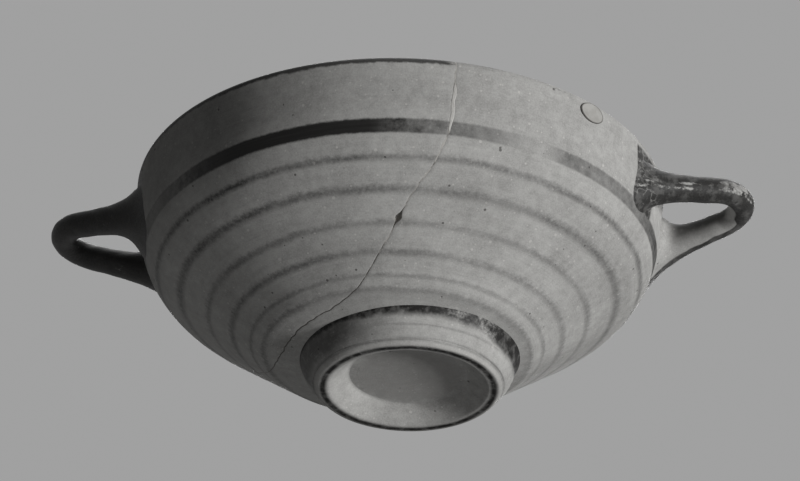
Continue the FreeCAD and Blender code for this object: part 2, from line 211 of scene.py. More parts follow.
# %% [markdown]
# ## Meshes from grids
# Every piece here is one or more grids of points, computed as whole arrays. Grids that share an edge
# are put in one mesh and welded, so the piece is closed, as fired clay is. Extra numbers kept at the
# points, such as how deep in the break a point lies, later tell the material what it covers.

# %% Meshes from grids


def grid_faces(rows, columns, wrap=False):
    """Four-cornered faces between neighbouring points of a grid, numbered row by row; with wrap, the
    last column joins the first."""
    number = np.arange(rows * columns).reshape(rows, columns)
    if wrap:
        number = np.column_stack([number, number[:, 0]])
    corners = [number[:-1, :-1], number[:-1, 1:], number[1:, 1:], number[1:, :-1]]
    return np.stack(corners, axis=-1).reshape(-1, 4)


def make_piece(name, patches, sharp=40):
    """A closed mesh from patches, each a dict with its points in mm (rows, columns, 3), whether it
    wraps, and its extra numbers. Shared edges are welded and faces turned outwards."""
    points, faces, start, extra = [], [], 0, {}
    keys = sorted({key for patch in patches for key in patch.get("extra", {})})
    for patch in patches:
        grid = patch["points"]
        faces.append(grid_faces(*grid.shape[:2], patch.get("wrap", False)) + start)
        points.append(grid.reshape(-1, 3) * MM)
        start += len(points[-1])
        for key in keys:
            value = np.broadcast_to(patch.get("extra", {}).get(key, 0.0), grid.shape[:2])
            extra.setdefault(key, []).append(value.reshape(-1))
    points, faces = np.vstack(points), np.vstack(faces)
    mesh = bpy.data.meshes.new(name)
    mesh.vertices.add(len(points))
    mesh.vertices.foreach_set("co", points.ravel())
    mesh.loops.add(faces.size)
    mesh.loops.foreach_set("vertex_index", faces.ravel())
    mesh.polygons.add(len(faces))
    mesh.polygons.foreach_set("loop_start", np.arange(0, faces.size, 4))
    mesh.update(calc_edges=True)
    for key in keys:
        layer = mesh.attributes.new(key, "FLOAT", "POINT")
        layer.data.foreach_set("value", np.concatenate(extra[key]).astype(np.float32))
    work = bmesh.new()
    work.from_mesh(mesh)
    bmesh.ops.remove_doubles(work, verts=work.verts, dist=2e-6)
    bmesh.ops.dissolve_degenerate(work, edges=work.edges, dist=1e-7)
    bmesh.ops.recalc_face_normals(work, faces=work.faces)
    if work.calc_volume(signed=True) < 0:
        bmesh.ops.reverse_faces(work, faces=work.faces)
    open_edges = sum(not edge.is_manifold for edge in work.edges)
    triangles = sum(len(face.verts) - 2 for face in work.faces)
    work.to_mesh(mesh)
    work.free()
    mesh.shade_smooth()
    mesh.set_sharp_from_angle(angle=math.radians(sharp))
    piece = bpy.data.objects.new(name, mesh)
    bpy.context.collection.objects.link(piece)
    print("%-14s %6d triangles, %d open edges" % (name, triangles, open_edges))
    return piece


print("faces of a grid of 3 by 4 points:", len(grid_faces(3, 4)), "and wrapped:", len(grid_faces(3, 4, True)))

# %% [markdown]
# ## The break
# The bowl broke once, along a line that runs from the front of the rim, round beside the foot and up to
# the rim at the back. Seen from above it is one smooth curve, and both sherds end on it. A boolean cut
# would give ragged triangles along the edge; instead the curve is worked out first, and the grids of
# both sherds are drawn up to it, so their edges are as clean as the rest.

# %% The line of the break
BREAK_BEARING = (-71.2, -70.4, -72.4, -77.2, -84.1, -94.6, -110.5, -135.0, -166.5, -187.8, -202.9,
                 -212.8, -217.6, -218.2)  # degrees round the bowl, from +X towards +Y
BREAK_RADIUS = (110.2, 89.8, 84.1, 74.9, 61.6, 48.9, 40.8, 38.2, 38.6, 44.4, 56.5, 73.8, 89.8, 110.2)
FRONT_CORNER, BACK_CORNER = 48.9, 44.4    # radii where the break turns along the foot, mm


def smooth_through(points, samples):
    """A curve through points with no kinks: natural cubic pieces in each coordinate, against the
    distance from point to point. The second derivatives solve one small linear system."""
    t = run_length(points)
    h = np.diff(t)
    count = len(points)
    system, known = np.eye(count), np.zeros_like(points)
    for k in range(1, count - 1):
        system[k, k - 1:k + 2] = h[k - 1], 2 * (h[k - 1] + h[k]), h[k]
        known[k] = 6 * ((points[k + 1] - points[k]) / h[k] - (points[k] - points[k - 1]) / h[k - 1])
    bend = np.linalg.solve(system, known)
    x = np.linspace(0, t[-1], samples)
    k = np.clip(np.searchsorted(t, x) - 1, 0, count - 2)
    a, b, width = (t[k + 1] - x)[:, None], (x - t[k])[:, None], h[k][:, None]
    bent = (bend[k] * a ** 3 + bend[k + 1] * b ** 3) / (6 * width)
    return bent + (points[k] / width - bend[k] * width / 6) * a \
        + (points[k + 1] / width - bend[k + 1] * width / 6) * b


bearing = np.radians(BREAK_BEARING)
plan = np.array(BREAK_RADIUS)[:, None] * np.column_stack([np.cos(bearing), np.sin(bearing)])
curve = smooth_through(plan, 6000)
curve_radius = np.hypot(*curve.T)
curve_bearing = np.degrees(np.unwrap(np.arctan2(curve[:, 1], curve[:, 0])))
nearest = int(np.argmin(curve_radius))
print("the break passes %.1f mm from the axis" % curve_radius[nearest])


def break_bearing(radius, front):
    """The bearing at which the break crosses a radius, at the front or at the back."""
    if front:
        return np.interp(radius, curve_radius[nearest::-1], curve_bearing[nearest::-1])
    return np.interp(radius, curve_radius[nearest:], curve_bearing[nearest:])


def break_radius(around):
    """The radius of the break at a bearing beside the foot."""
    return np.interp(around, curve_bearing[::-1], curve_radius[::-1])


# %% [markdown]
# Along the break the two edges have lost a little clay. The gap is a hair's width where the sherds fit,
# and opens where a flake is missing: a hole low on the front, a chip under the broad band, a notch at
# the lip, and the long worn stretch that was filled with plaster.

# %% Stations along the break
DEEPEST = travel[-1]                # far end of the section's table, the middle of the floor inside
SPACING, COLUMN_SPACING = 1.08, 1.4       # mm between rows and between columns of points
SHERD_RUN, MAIN_RUN = 231, 336      # mm that the columns of each piece share out
EDGE_STEPS = (0, 0.16, 0.42, 0.85, 1.5)   # finer steps beside the break, mm
LIP_ZONE, LIP_STEP = 5.2, 0.35      # below the lip, finer steps, mm
FRONT_BEARING = -95                 # the front of the break has bearings above this
HOLE_AT, CHIP_AT = 28.2, 45.6       # heights of the worn hole and of the chip, mm
PLASTER_Z = (49.5, 66.5)            # from and to, mm of height


def reach_at(radius, inside):
    """Distance from the axis, measured over the surface, at which the skin reaches a radius."""
    top = np.argmin(abs(travel - lip_at))
    if inside:
        return np.interp(radius, section[:top:-1, 0], DEEPEST - travel[:top:-1])
    return np.interp(radius, section[:top, 0], travel[:top])


def along_at(reach, inside):
    """Place in the section's table of a distance from the axis over the outer or the inner skin."""
    return DEEPEST - reach if inside else reach


def fractions(length, spacing, fine_start, fine_end):
    """Numbers from 0 to 1 that divide a length evenly, with finer steps next to an end that asks."""
    steps = np.array(EDGE_STEPS)
    start, end = steps * fine_start, steps * fine_end
    low, high = start[-1], length - end[-1]
    middle = np.linspace(low, high, int(round((high - low) / spacing)) + 1)
    return np.unique(np.round(np.concatenate([start, middle, length - end]) / length, 7))


def bump(values, middle, width):
    """A smooth hill of height 1 about the middle."""
    return np.exp(-((values - middle) / width) ** 2)


wall_run = lip_at - reach_at(FRONT_CORNER, False)
lip_run = np.arange(LIP_STEP, LIP_ZONE, LIP_STEP)
rise = fractions(wall_run - LIP_ZONE, SPACING, 1, 0) * (wall_run - LIP_ZONE) / wall_run
rise = np.concatenate([rise, np.sort(1 - lip_run / wall_run), [1.0]])
rise = np.unique(np.round(rise, 7))
sherd_columns = fractions(SHERD_RUN, COLUMN_SPACING, 1, 1)
main_columns = fractions(MAIN_RUN, COLUMN_SPACING, 1, 1)


def break_stations(inside):
    """Bearing and reach of the points of the break on one skin, from the front of the lip down, along
    the foot and up to the back of the lip, with the direction square to it that points to the sherd."""
    lip_reach = DEEPEST - lip_at if inside else lip_at
    parts = []
    for front, radius in ((True, FRONT_CORNER), (False, BACK_CORNER)):
        low = reach_at(radius, inside)
        reach = low + rise * (lip_reach - low)
        along = along_at(reach, inside)
        radius_here, height = radius_at(along), height_at(along)
        wiggle = 0.30 * waves(height, (3.1, 4.7, 7.9, 12.7), 11 + front) * np.clip(rise * 8, 0, 1)
        around = break_bearing(radius_here, front) + np.degrees(wiggle / radius_here)
        parts.append(np.column_stack([around, reach]))
    first, last = parts[0][0, 0], parts[1][0, 0]
    around = first + sherd_columns * (last - first)
    reach = reach_at(break_radius(around), inside)
    from_corner = np.clip(np.minimum(sherd_columns, 1 - sherd_columns) * 12, 0, 1)
    reach = reach + 0.3 * waves(around, (6.1, 9.7, 17.0), 5) * from_corner
    reach[0], reach[-1] = parts[0][0, 1], parts[1][0, 1]
    low = np.column_stack([around, reach])
    line = np.vstack([parts[0][::-1], low[1:-1], parts[1]])
    radius = radius_at(along_at(line[:, 1], inside))
    move = np.gradient(line, axis=0)
    move[:, 0] *= np.radians(1) * radius
    move /= np.linalg.norm(move, axis=1)[:, None]
    count = len(rise)
    level = np.ones(len(line))
    level[:count], level[-count:] = np.clip((1 - rise[::-1]) * 9, 0, 1), np.clip((1 - rise) * 9, 0, 1)
    aside = move[:, 1] * level + np.sign(move[:, 1]) * (1 - level)
    return line, np.column_stack([aside / (np.radians(1) * radius), -move[:, 0] * level])


def break_gap(line, inside):
    """Half the width of the gap at each station, in mm."""
    height = height_at(along_at(line[:, 1], inside))
    front = line[:, 0] > FRONT_BEARING
    gap = 0.085 + 0.04 * waves(height + line[:, 0], (2.3, 3.9, 6.1), 21)
    gap = gap + np.where(front & (not inside), 1.05 * bump(height, HOLE_AT, 0.85), 0)
    gap = gap + np.where(front, 0.25 * bump(height, CHIP_AT, 0.8) + 0.2 * bump(height, LIP_HEIGHT, 1.0), 0)
    filled = front & (height > PLASTER_Z[0]) & (height < PLASTER_Z[1])
    return np.where(filled, 0.4, gap)


def break_edges(inside, side):
    """The edge of one piece on one skin: side is +1 for the sherd, -1 for the main piece and 0 for
    the middle of the gap. Split into front (lip last), low and back (lip last)."""
    line, square = break_stations(inside)
    edge = line + square * (side * break_gap(line, inside))[:, None]
    count = len(rise)
    return edge[:count][::-1], edge[count - 1:len(edge) - count + 1], edge[-count:]


stations = [len(edge) for edge in break_edges(False, 0)]
print("stations up the front, along the foot and up the back:", stations)

# %% [markdown]
# ## The two sherds
# Each sherd is a patch of wall between the two sides of the break. Its grid is stretched between four
# edges: the front of the break, the back of the break, the low edge, and the lip. A blend of opposite
# edges, less the blend of the corners, fills the inside evenly. The outside and the inside are two such
# patches that meet at the lip, and strips of rough broken clay close the thickness.

# %% Patches between four edges


def between_edges(left_edge, right_edge, low_edge, top_edge, columns):
    """A grid between four edges: blend across, plus blend up, less the blend of the corners."""
    u, v = columns[None, :, None], rise[:, None, None]
    left_edge, right_edge = left_edge[:, None], right_edge[:, None]
    low_edge, top_edge = low_edge[None], top_edge[None]
    corners = (1 - u) * (1 - v) * low_edge[:, :1] + u * (1 - v) * low_edge[:, -1:] \
        + (1 - u) * v * top_edge[:, :1] + u * v * top_edge[:, -1:]
    return (1 - v) * low_edge + v * top_edge + (1 - u) * left_edge + u * right_edge - corners


def straight(start, stop, columns):
    """Points between two places in equal measure with the columns' fractions."""
    return start + columns[:, None] * (stop - start)


def worn_edge(distance):
    """How far the clay is worn down beside the break, in mm: most at the edge, gone within a millimetre."""
    return -0.14 * np.exp(-distance / 0.35)


def wall_patch(inside, side, columns):
    """One skin of a sherd, or of the main piece, from the low edge to the lip."""
    front, low, behind = break_edges(inside, side)
    if side < 0:
        behind = behind + [360, 0]
        low = straight(front[0], behind[0], columns)
    top = straight(front[-1], behind[-1], columns)
    grid = between_edges(front, behind, low, top, columns)
    along = along_at(grid[..., 1], inside)
    per_degree = np.radians(1) * radius_at(along)
    distance = np.minimum(abs(grid[..., 0] - grid[:, :1, 0]), abs(grid[..., 0] - grid[:, -1:, 0]))
    distance = distance * per_degree
    if side > 0:
        distance = np.minimum(distance, abs(grid[..., 1] - grid[:1, :, 1]))
    return {"points": on_bowl(grid[..., 0], along, worn_edge(distance)),
            "extra": {"inside": float(inside), "broken": np.exp(-distance / 0.25) * 0.6}}


ACROSS_BREAK = np.linspace(0, 1, 6)


def broken_strip(outer, inner, seed):
    """The rough face of a break: straight lines from the outer edge to the inner edge, with grit."""
    u = ACROSS_BREAK[:, None, None]
    points = outer * (1 - u) + inner * u
    grit = np.random.default_rng(seed).normal(0, 0.07, points.shape)
    grit[[0, -1]] = grit[:, [0, -1]] = 0
    points = points + grit
    return {"points": points, "extra": {"inside": 0.5, "broken": 1.0}}


def break_strips(side):
    """The broken faces of one piece: down the front, along the foot and up the back."""
    strips = []
    for number, (outer, inner) in enumerate(zip(break_edges(False, side), break_edges(True, side))):
        wear = worn_edge(np.zeros(len(outer)))
        strips.append(broken_strip(on_bowl(outer[:, 0], outer[:, 1], wear),
                                   on_bowl(inner[:, 0], DEEPEST - inner[:, 1], wear), 31 + number))
    return strips


sherd_walls = [wall_patch(inside, 1, sherd_columns) for inside in (False, True)]
sherd = make_piece("left_sherd", sherd_walls + break_strips(1))

# %% [markdown]
# The main piece has the same kind of wall patches on the other side of the break, and the round middle
# of the bowl as well. The middle is drawn in rings from the axis outwards: to the wall patch on the
# right, and to the low edge of the break on the left.

# %% The main piece
FOOT_SEAT_REACH = reach_at(31.5, False)    # where the rings near the axis end, mm


def middle_patch(inside, edge, worn):
    """The floor or the underside: rays from the axis to the given edge, with rings that follow the
    section near the axis and the edge further out."""
    turn = min(FOOT_SEAT_REACH, edge[:, 1].min() - 1.5)
    inner_rings = np.linspace(0, 1, 20)[:, None] * turn * np.ones(len(edge))
    outer_rings = turn + fractions(12, 1.2, 0, 1)[1:, None] * (edge[None, :, 1] - turn)
    reach = np.vstack([inner_rings, outer_rings])
    around = np.broadcast_to(edge[:, 0], reach.shape)
    edge_radius = radius_at(along_at(edge[:, 1], inside))
    to_break = np.minimum(abs(edge[:, 0] - edge[0, 0]), abs(edge[:, 0] - edge[-1, 0]))
    to_break = to_break * np.radians(1) * edge_radius
    distance = edge[None, :, 1] - reach + (0 if worn else to_break[None])
    return {"points": on_bowl(around, along_at(reach, inside), worn_edge(distance) * (distance < 9)),
            "extra": {"inside": float(inside), "broken": np.exp(-distance / 0.25) * 0.6}}


main_patches = break_strips(-1)
for inside in (False, True):
    front, low, behind = break_edges(inside, -1)
    open_edge = straight(front[0], behind[0] + [360, 0], main_columns)
    main_patches += [wall_patch(inside, -1, main_columns), middle_patch(inside, open_edge, False),
                     middle_patch(inside, low, True)]
main_bowl = make_piece("main_bowl", main_patches)

# %% [markdown]
# ## The glue and the plaster
# The glue is the thin sheet that fills the gap. It shrank as it dried, so it lies a little below both
# skins. The plaster fills the worn stretch on the upper wall: a mender pressed it in, wiped it off and
# left it a little proud and uneven, with feathered ends.

# %% The glue
GLUE_SINK = 0.07                    # mm below the skin


def glue_corner(inside, side):
    """One long edge of the glue: beside the gap's middle, below the skin."""
    line, square = break_stations(inside)
    edge = line + square * (side * (break_gap(line, inside) + 0.08))[:, None]
    hollow = 1.6 * bump(height_at(along_at(line[:, 1], inside)), HOLE_AT, 1.4) * (line[:, 0] > FRONT_BEARING)
    return on_bowl(edge[:, 0], along_at(edge[:, 1], inside), -GLUE_SINK - hollow)


glue_edges = [glue_corner(inside, side) for inside, side in ((False, 1), (False, -1), (True, -1), (True, 1))]
glue_points = np.stack(glue_edges, axis=1)
glue = make_piece("glue_seam", [{"points": glue_points, "wrap": True}])

# %% The plaster
plaster_rows = np.linspace(0, 1, 60)
plaster_columns = np.linspace(-1, 1, 13)
front_line = break_stations(False)[0][:len(rise)][::-1]
front_height = height_at(front_line[:, 1])


def plaster_skin(lift_top, depth):
    """The plaster's face or its back: a strip along the break, as wide as the wear it fills."""
    height = PLASTER_Z[0] + plaster_rows * (PLASTER_Z[1] - PLASTER_Z[0])
    around = np.interp(height, front_height, front_line[:, 0])
    reach = np.interp(height, front_height, front_line[:, 1])
    half = 0.72 * np.clip(np.minimum(plaster_rows, 1 - plaster_rows) * 5, 0.02, 1) ** 0.6
    left_half = half * (1 + 0.35 * waves(height, (2.9, 4.3, 7.1), 41))
    right_half = half * (1 + 0.35 * waves(height, (3.3, 5.1, 6.7), 42))
    column = plaster_columns[None]
    across = column * np.where(column < 0, left_half[:, None], right_half[:, None])
    crown = lift_top * (1 - column ** 4) - 0.12 * column ** 4 - depth
    crown = crown + 0.04 * waves(height[:, None] + across * 2, (1.3, 2.1, 3.7), 43)
    return on_bowl(around[:, None] + np.degrees(across / 88), reach[:, None] + 0 * across, crown)


face, reverse = plaster_skin(0.07, 0.0), plaster_skin(-0.1, 1.6)
rims = [np.concatenate([side[0], side[:, -1], side[-1, ::-1], side[::-1, 0]]) for side in (face, reverse)]
rim_strip = np.stack(rims)
plaster = make_piece("plaster_fill", [{"points": face}, {"points": reverse}, {"points": rim_strip}])

# %% [markdown]
# ## The foot
# The foot was thrown apart and stuck on with wet clay. It sits a few millimetres off the bowl's axis,
# as hand-made feet do. It is turned from its own section: a pale bevelled resting edge, a gently
# swelling wall, and a hollow that narrows towards the underside of the bowl.

# %% The foot
FOOT_SHIFT = 4.0                    # mm from the bowl's axis towards +X
FOOT_SECTION = np.array([
    (19.7, 7.2), (19.7, 5.42), (20.3, 5.48), (26.8, 0.02), (30.35, 0.0), (31.2, 0.75), (34.8, 5.2),
    (36.7, 10.2), (37.4, 12.0), (33.0, 13.5), (19.7, 13.5),
])
FOOT_ROUNDS = {2: 0.9, 3: 0.7, 4: 0.9, 5: 0.9, 6: 12, 7: 1.4}
FOOT_STEP = 0.55                    # mm between points along the section


def foot_ring_points():
    """The foot's section turned about its own axis; above its wall each point is held inside the
    bowl's clay: no higher than the bowl's underside at that place plus a little."""
    table = rounded_line(np.vstack([FOOT_SECTION, FOOT_SECTION[:1]]), FOOT_ROUNDS)
    length = run_length(table)
    at = np.linspace(0, length[-1], int(length[-1] / FOOT_STEP))[:-1]
    radius, height = np.interp(at, length, table[:, 0]), np.interp(at, length, table[:, 1])
    angle = np.linspace(0, 2 * np.pi, 260, endpoint=False)[:, None]
    uneven = 0.09 * waves(np.degrees(angle), (360, 180, 72, 45), 51)
    uneven = uneven + 0.05 * waves(height[None] + angle, (2.1, 3.3), 52)
    radius = radius[None] + uneven * np.clip((radius[None] - 22) / 4, 0, 1)
    x, y = FOOT_SHIFT + radius * np.cos(angle), radius * np.sin(angle)
    underside = np.interp(np.hypot(x, y), section[:4000, 0], section[:4000, 1])
    height = np.minimum(np.broadcast_to(height[None], x.shape), underside + 0.9)
    return np.stack([x, y, height], axis=-1)


ring = foot_ring_points()
foot = make_piece("foot", [{"points": np.vstack([ring, ring[:1]]), "wrap": True}], sharp=55)

# %% [markdown]
# ## The handles
# Each handle is a roll of clay bent to a loop and pressed on to the wall, which leaves wide soft roots.
# A path with a tube along it gives the roll. The roots come from one rule: the nearer a point of the
# roll is to the wall, the further it stands off the path.

# %% The handles
HANDLE_RADIUS = 4.3                 # of the roll, mm
HANDLE_TIP = 117.8                  # how far out the middle of the roll goes
HANDLE_ROOT = 87.0                  # where each arm meets the wall
HANDLE_NOSE = 12.3                  # radius of the bend at the tip
HANDLE_RISE = math.radians(7.6)     # how steeply the loop rises outwards
HANDLE_BASE = 61.0 - HANDLE_ROOT * math.tan(HANDLE_RISE)
ROOT_DEPTH = 9.0                    # how far the path goes on behind the root
HANDLE_TOP = 69.0                   # above this height the root's swell dies away
SUNK = 2.2                          # how far the roots go into the wall
RIGHT_ARMS = ((21.6, 0.3, 0.2, 0), (23.0, 0.6, 1.3, 0))
LEFT_ARMS = ((21.2, 0.7, 1.9, 0.10), (20.2, 0.1, 0.6, 0.16))


def wall_radius_at(height):
    """Outer radius of the bowl's wall at a height."""
    top = np.argmin(abs(travel - lip_at))
    return np.interp(height, section[:top, 1], section[:top, 0])


def handle_points(side, seed, front_arm, back_arm):
    """The roll: circles square to the path, whose radius grows by a rule of the distance to the wall.
    Each arm is (distance of its root from the X axis, outer growth, inner growth, fatness of its inner
    side). Returns the points and how far each faces outwards from the loop and upwards."""
    spread, length = (front_arm[0] + back_arm[0]) / 2, HANDLE_TIP - HANDLE_NOSE - HANDLE_ROOT
    lean = math.atan2(spread, length) - math.asin(HANDLE_NOSE / math.hypot(spread, length))
    corner = np.array([HANDLE_ROOT + spread / math.tan(lean), 0.0])
    roots = np.array([[HANDLE_ROOT, back_arm[0]], [HANDLE_ROOT, -front_arm[0]]])
    start, stop = (root + unit(root - corner) * ROOT_DEPTH for root in roots)
    path = rounded_line(np.array([start, corner, stop]), {1: HANDLE_NOSE})
    length = run_length(path)
    at = np.linspace(0, length[-1], 150)
    x, y = np.interp(at, length, path[:, 0]), np.interp(at, length, path[:, 1])
    run = np.gradient(np.column_stack([x, y]), at, axis=0)
    run /= np.linalg.norm(run, axis=1)[:, None]
    outward = np.column_stack([run[:, 1], -run[:, 0]])
    outward *= np.sign(outward[75, 0])
    angle = np.linspace(0, 2 * np.pi, 44, endpoint=False)
    out, high = np.cos(angle)[None], np.sin(angle)[None]
    roll = HANDLE_RADIUS * (1 + 0.025 * waves(at[:, None] + 3 * out, (17, 29, 41), seed)
                            + 0.015 * waves(at[:, None] + 9 * high, (7, 11), seed + 1))

    def placed(radius):
        """Points of the roll at a radius round the path, tipped up by the handle's rise."""
        px = x[:, None] + outward[:, :1] * radius * out
        py = y[:, None] + outward[:, 1:] * radius * out
        pz = radius * high * 0.97
        tilt_x = px * math.cos(HANDLE_RISE) - pz * math.sin(HANDLE_RISE)
        tilt_z = pz * math.cos(HANDLE_RISE) + px * math.sin(HANDLE_RISE) + HANDLE_BASE
        return np.stack([tilt_x, py, tilt_z], axis=-1)

    is_front = np.clip(0.5 - y / 8, 0, 1)[:, None]
    outer, inner, fat = (is_front * a + (1 - is_front) * b for a, b in zip(front_arm[1:], back_arm[1:]))
    faces_in = np.clip(-out, 0, 1)
    share = outer + (np.minimum(inner, 0.9) - outer) * faces_in + 0.85 * high ** 2
    roll = roll * (1 + fat * faces_in ** 2)
    grown = 0 * roll
    for _ in range(12):             # the growth and the distance to the wall depend on each other
        points = placed(roll + grown)
        near = np.maximum(np.hypot(points[..., 0], points[..., 1]) - wall_radius_at(points[..., 2]), -0.5)
        wanted = share * (3.4 * np.exp(-near / 5.6) + 1.6 * np.exp(-near / 2.0))
        wanted = wanted + np.maximum(inner - 0.9, 0) * faces_in * 7.0 * np.exp(-near / 2.6)
        grown = 0.5 * (grown + wanted)
    points = placed(roll + grown)
    points[..., 2] -= 0.85 * np.maximum(points[..., 2] - HANDLE_TOP, 0)     # the root stays below the lip
    depth = np.hypot(points[..., 0], points[..., 1]) - wall_radius_at(points[..., 2]) + SUNK
    pull = 1 + np.maximum(-depth, 0) / np.hypot(points[..., 0], points[..., 1])
    points[..., :2] *= pull[..., None]
    points[..., 0] *= side
    caps = [np.broadcast_to(end.mean(axis=0), end.shape)[None] for end in (points[0], points[-1])]
    closed = np.concatenate([caps[0], points, caps[1]])
    return {"points": closed, "wrap": True, "extra": {"faces_out": out, "faces_up": high}}


handle_right = make_piece("right_handle", [handle_points(1, 61, *RIGHT_ARMS)], sharp=80)
handle_left = make_piece("left_handle", [handle_points(-1, 71, *LEFT_ARMS)], sharp=80)

# %% [markdown]
# ## The paper disc
# A small oval of thick paper is stuck on the wall below the lip. It is bent to the wall, and its edge
# lifts a little where the paste has let go. It is left bare.

# %% The paper disc
LABEL_BEARING, LABEL_HEIGHT = -37.3, 70.4
LABEL_HALF = (5.25, 3.25)           # half its width and half its height, mm
LABEL_THICK = 0.45                  # mm


def label_points():
    """Rings of an oval, each ring's points at cos and sin of the angle times the half lengths, laid
    on the wall: up the face from the middle, round the edge and back under it."""
    ring_at = np.concatenate([np.linspace(0, 0.94, 12), [0.975, 1.0, 1.0, 0.975], np.linspace(0.94, 0, 4)])
    rounded = [LABEL_THICK * 0.9, LABEL_THICK * 0.6, 0.0, -0.25]
    lift = np.concatenate([np.full(12, LABEL_THICK), rounded, np.full(4, -0.3)])
    angle = np.linspace(0, 2 * np.pi, 72, endpoint=False)[None]
    scale = ring_at[:, None] * (1 + 0.012 * waves(np.degrees(angle), (90, 51.43, 32.73), 81))
    around = LABEL_BEARING + np.degrees(scale * LABEL_HALF[0] * np.cos(angle) / 90)
    middle = np.interp(LABEL_HEIGHT, front_height, front_line[:, 1])
    along = middle + scale * LABEL_HALF[1] * np.sin(angle)
    curl = 0.10 * ring_at[:, None] ** 4 * (1 + np.sin(2 * angle + 0.6)) * (lift[:, None] > 0)
    return {"points": on_bowl(around, along, lift[:, None] + curl), "wrap": True,
            "extra": {"to_edge": ring_at[:, None] * np.ones_like(angle)}}


label = make_piece("paper_disc", [label_points()], sharp=50)

# %% [markdown]
# ## Finishes: helpers
# A finish is a small tree of nodes. Written out one by one the nodes hide the idea, so short helpers
# place them: any node, a sum, a product, a soft step, a hill. Effects that several finishes share, such
# as the clay's grain, are groups with named inputs and outputs, built once.

# %% Helpers for node trees


def plug(tree, socket, value):
    """Joins an output to an input, or sets the input's own number or colour."""
    if isinstance(value, bpy.types.NodeSocket):
        tree.links.new(value, socket)
    elif isinstance(value, tuple) and len(value) == 3 and socket.type == "RGBA":
        socket.default_value = (*value, 1)
    else:
        socket.default_value = value


def node(tree, kind, inputs=None, **settings):
    """A node with its settings and inputs."""
    made = tree.nodes.new("ShaderNode" + kind)
    for key, value in settings.items():
        setattr(made, key, value)
    for key, value in (inputs or {}).items():
        plug(tree, made.inputs[key], value)
    return made


def calc(tree, operation, *values, clamp=False):
    """One operation, carried through all the numbers or outputs given."""
    if len(values) > 2 and operation in ("ADD", "MULTIPLY", "MAXIMUM"):
        values = (calc(tree, operation, *values[:-1]), values[-1])
    return node(tree, "Math", dict(enumerate(values)), operation=operation, use_clamp=clamp).outputs[0]


def plus(tree, *values):
    """The sum."""
    return calc(tree, "ADD", *values)


def less(tree, value, taken):
    """The difference."""
    return calc(tree, "SUBTRACT", value, taken)


def times(tree, *values, clamp=False):
    """The product."""
    return calc(tree, "MULTIPLY", *values, clamp=clamp)


def most(tree, *values):
    """The largest."""
    return calc(tree, "MAXIMUM", *values)


def size_of(tree, value):
    """The number without its sign."""
    return calc(tree, "ABSOLUTE", value)


def line_of(tree, value, slope_of, base, clamp=False):
    """A straight line: value times a slope, plus a base."""
    return calc(tree, "MULTIPLY_ADD", value, slope_of, base, clamp=clamp)


def step(tree, value, low, high, bottom=0.0, top=1.0):
    """A soft step: bottom below low, top above high, smooth between."""
    ends = {"Value": value, "From Min": low, "From Max": high, "To Min": bottom, "To Max": top}
    return node(tree, "MapRange", ends, interpolation_type="SMOOTHSTEP").outputs[0]


def hill(tree, value, middle, half, soft):
    """1 within half of the middle, falling softly to 0."""
    return step(tree, size_of(tree, less(tree, value, middle)), half - soft, half + soft, 1.0, 0.0)


def mix(tree, amount, first, second):
    """A colour between two, by an amount that may run a little past 0 and 1."""
    made = node(tree, "Mix", data_type="RGBA", clamp_factor=False)
    for index, value in ((0, amount), (6, first), (7, second)):
        plug(tree, made.inputs[index], value)
    return made.outputs[2]


def by_bearing(tree, bearing, stops):
    """A value that follows a table of (bearing in degrees, value) round the cup."""
    ramp = node(tree, "ValToRGB", {0: line_of(tree, bearing, 1 / 360, 0.5)})
    points = ramp.color_ramp.elements
    while len(points) < len(stops):
        points.new(0.5)
    for point, (angle, value) in zip(points, stops):
        point.position = angle / 360 + 0.5
        point.color = (value, value, value, 1)
    return ramp.outputs[0]


def noise(tree, vector, scale, detail=3.0, rough=0.55):
    """Cloudy noise between 0 and 1."""
    look = {"Vector": vector, "Scale": scale, "Detail": detail, "Roughness": rough}
    return node(tree, "TexNoise", look).outputs[0]


def waver(tree, base, reach, *look):
    """A number that noise carries up and down by half the reach."""
    return line_of(tree, less(tree, noise(tree, *look), 0.5), reach, base)


def stored(tree, name):
    """A number that the mesh keeps at its points."""
    return node(tree, "Attribute", attribute_name=name).outputs["Fac"]


def new_group(name, inputs, outputs):
    """An empty node group with named inputs (and their first values) and outputs."""
    group = bpy.data.node_groups.new(name, "ShaderNodeTree")
    for title, kind, value in inputs:
        socket = group.interface.new_socket(title, in_out="INPUT", socket_type=kind)
        if value is not None:
            socket.default_value = value
    for title, kind in outputs:
        group.interface.new_socket(title, in_out="OUTPUT", socket_type=kind)
    return group, group.nodes.new("NodeGroupInput").outputs, group.nodes.new("NodeGroupOutput")


def put_out(tree, outs, values):
    """Joins a group's results to its named outputs."""
    for title, value in values.items():
        plug(tree, outs.inputs[title], value)
    print("group", tree.name, "has", len(tree.nodes), "nodes")


def use(tree, group, inputs=None):
    """Places a group in a tree."""
    made = tree.nodes.new("ShaderNodeGroup")
    made.node_tree = group
    for key, value in (inputs or {}).items():
        plug(tree, made.inputs[key], value)
    return made.outputs


FLOAT, VECTOR = "NodeSocketFloat", "NodeSocketVector"
print("soft step, hill, noise and mix are ready for the finishes")

# %% [markdown]
# ## Where on the cup
# All painting on a wheel is at a height or a distance from the axis, and all wear is at a bearing. One
# group turns a point of the cup into these three numbers, in degrees and millimetres, so that every
# finish can be written with numbers measured on the cup.

# %% Group: place on the cup
WHEEL_DRAW = 0.035                    # how little the pattern changes round the pot

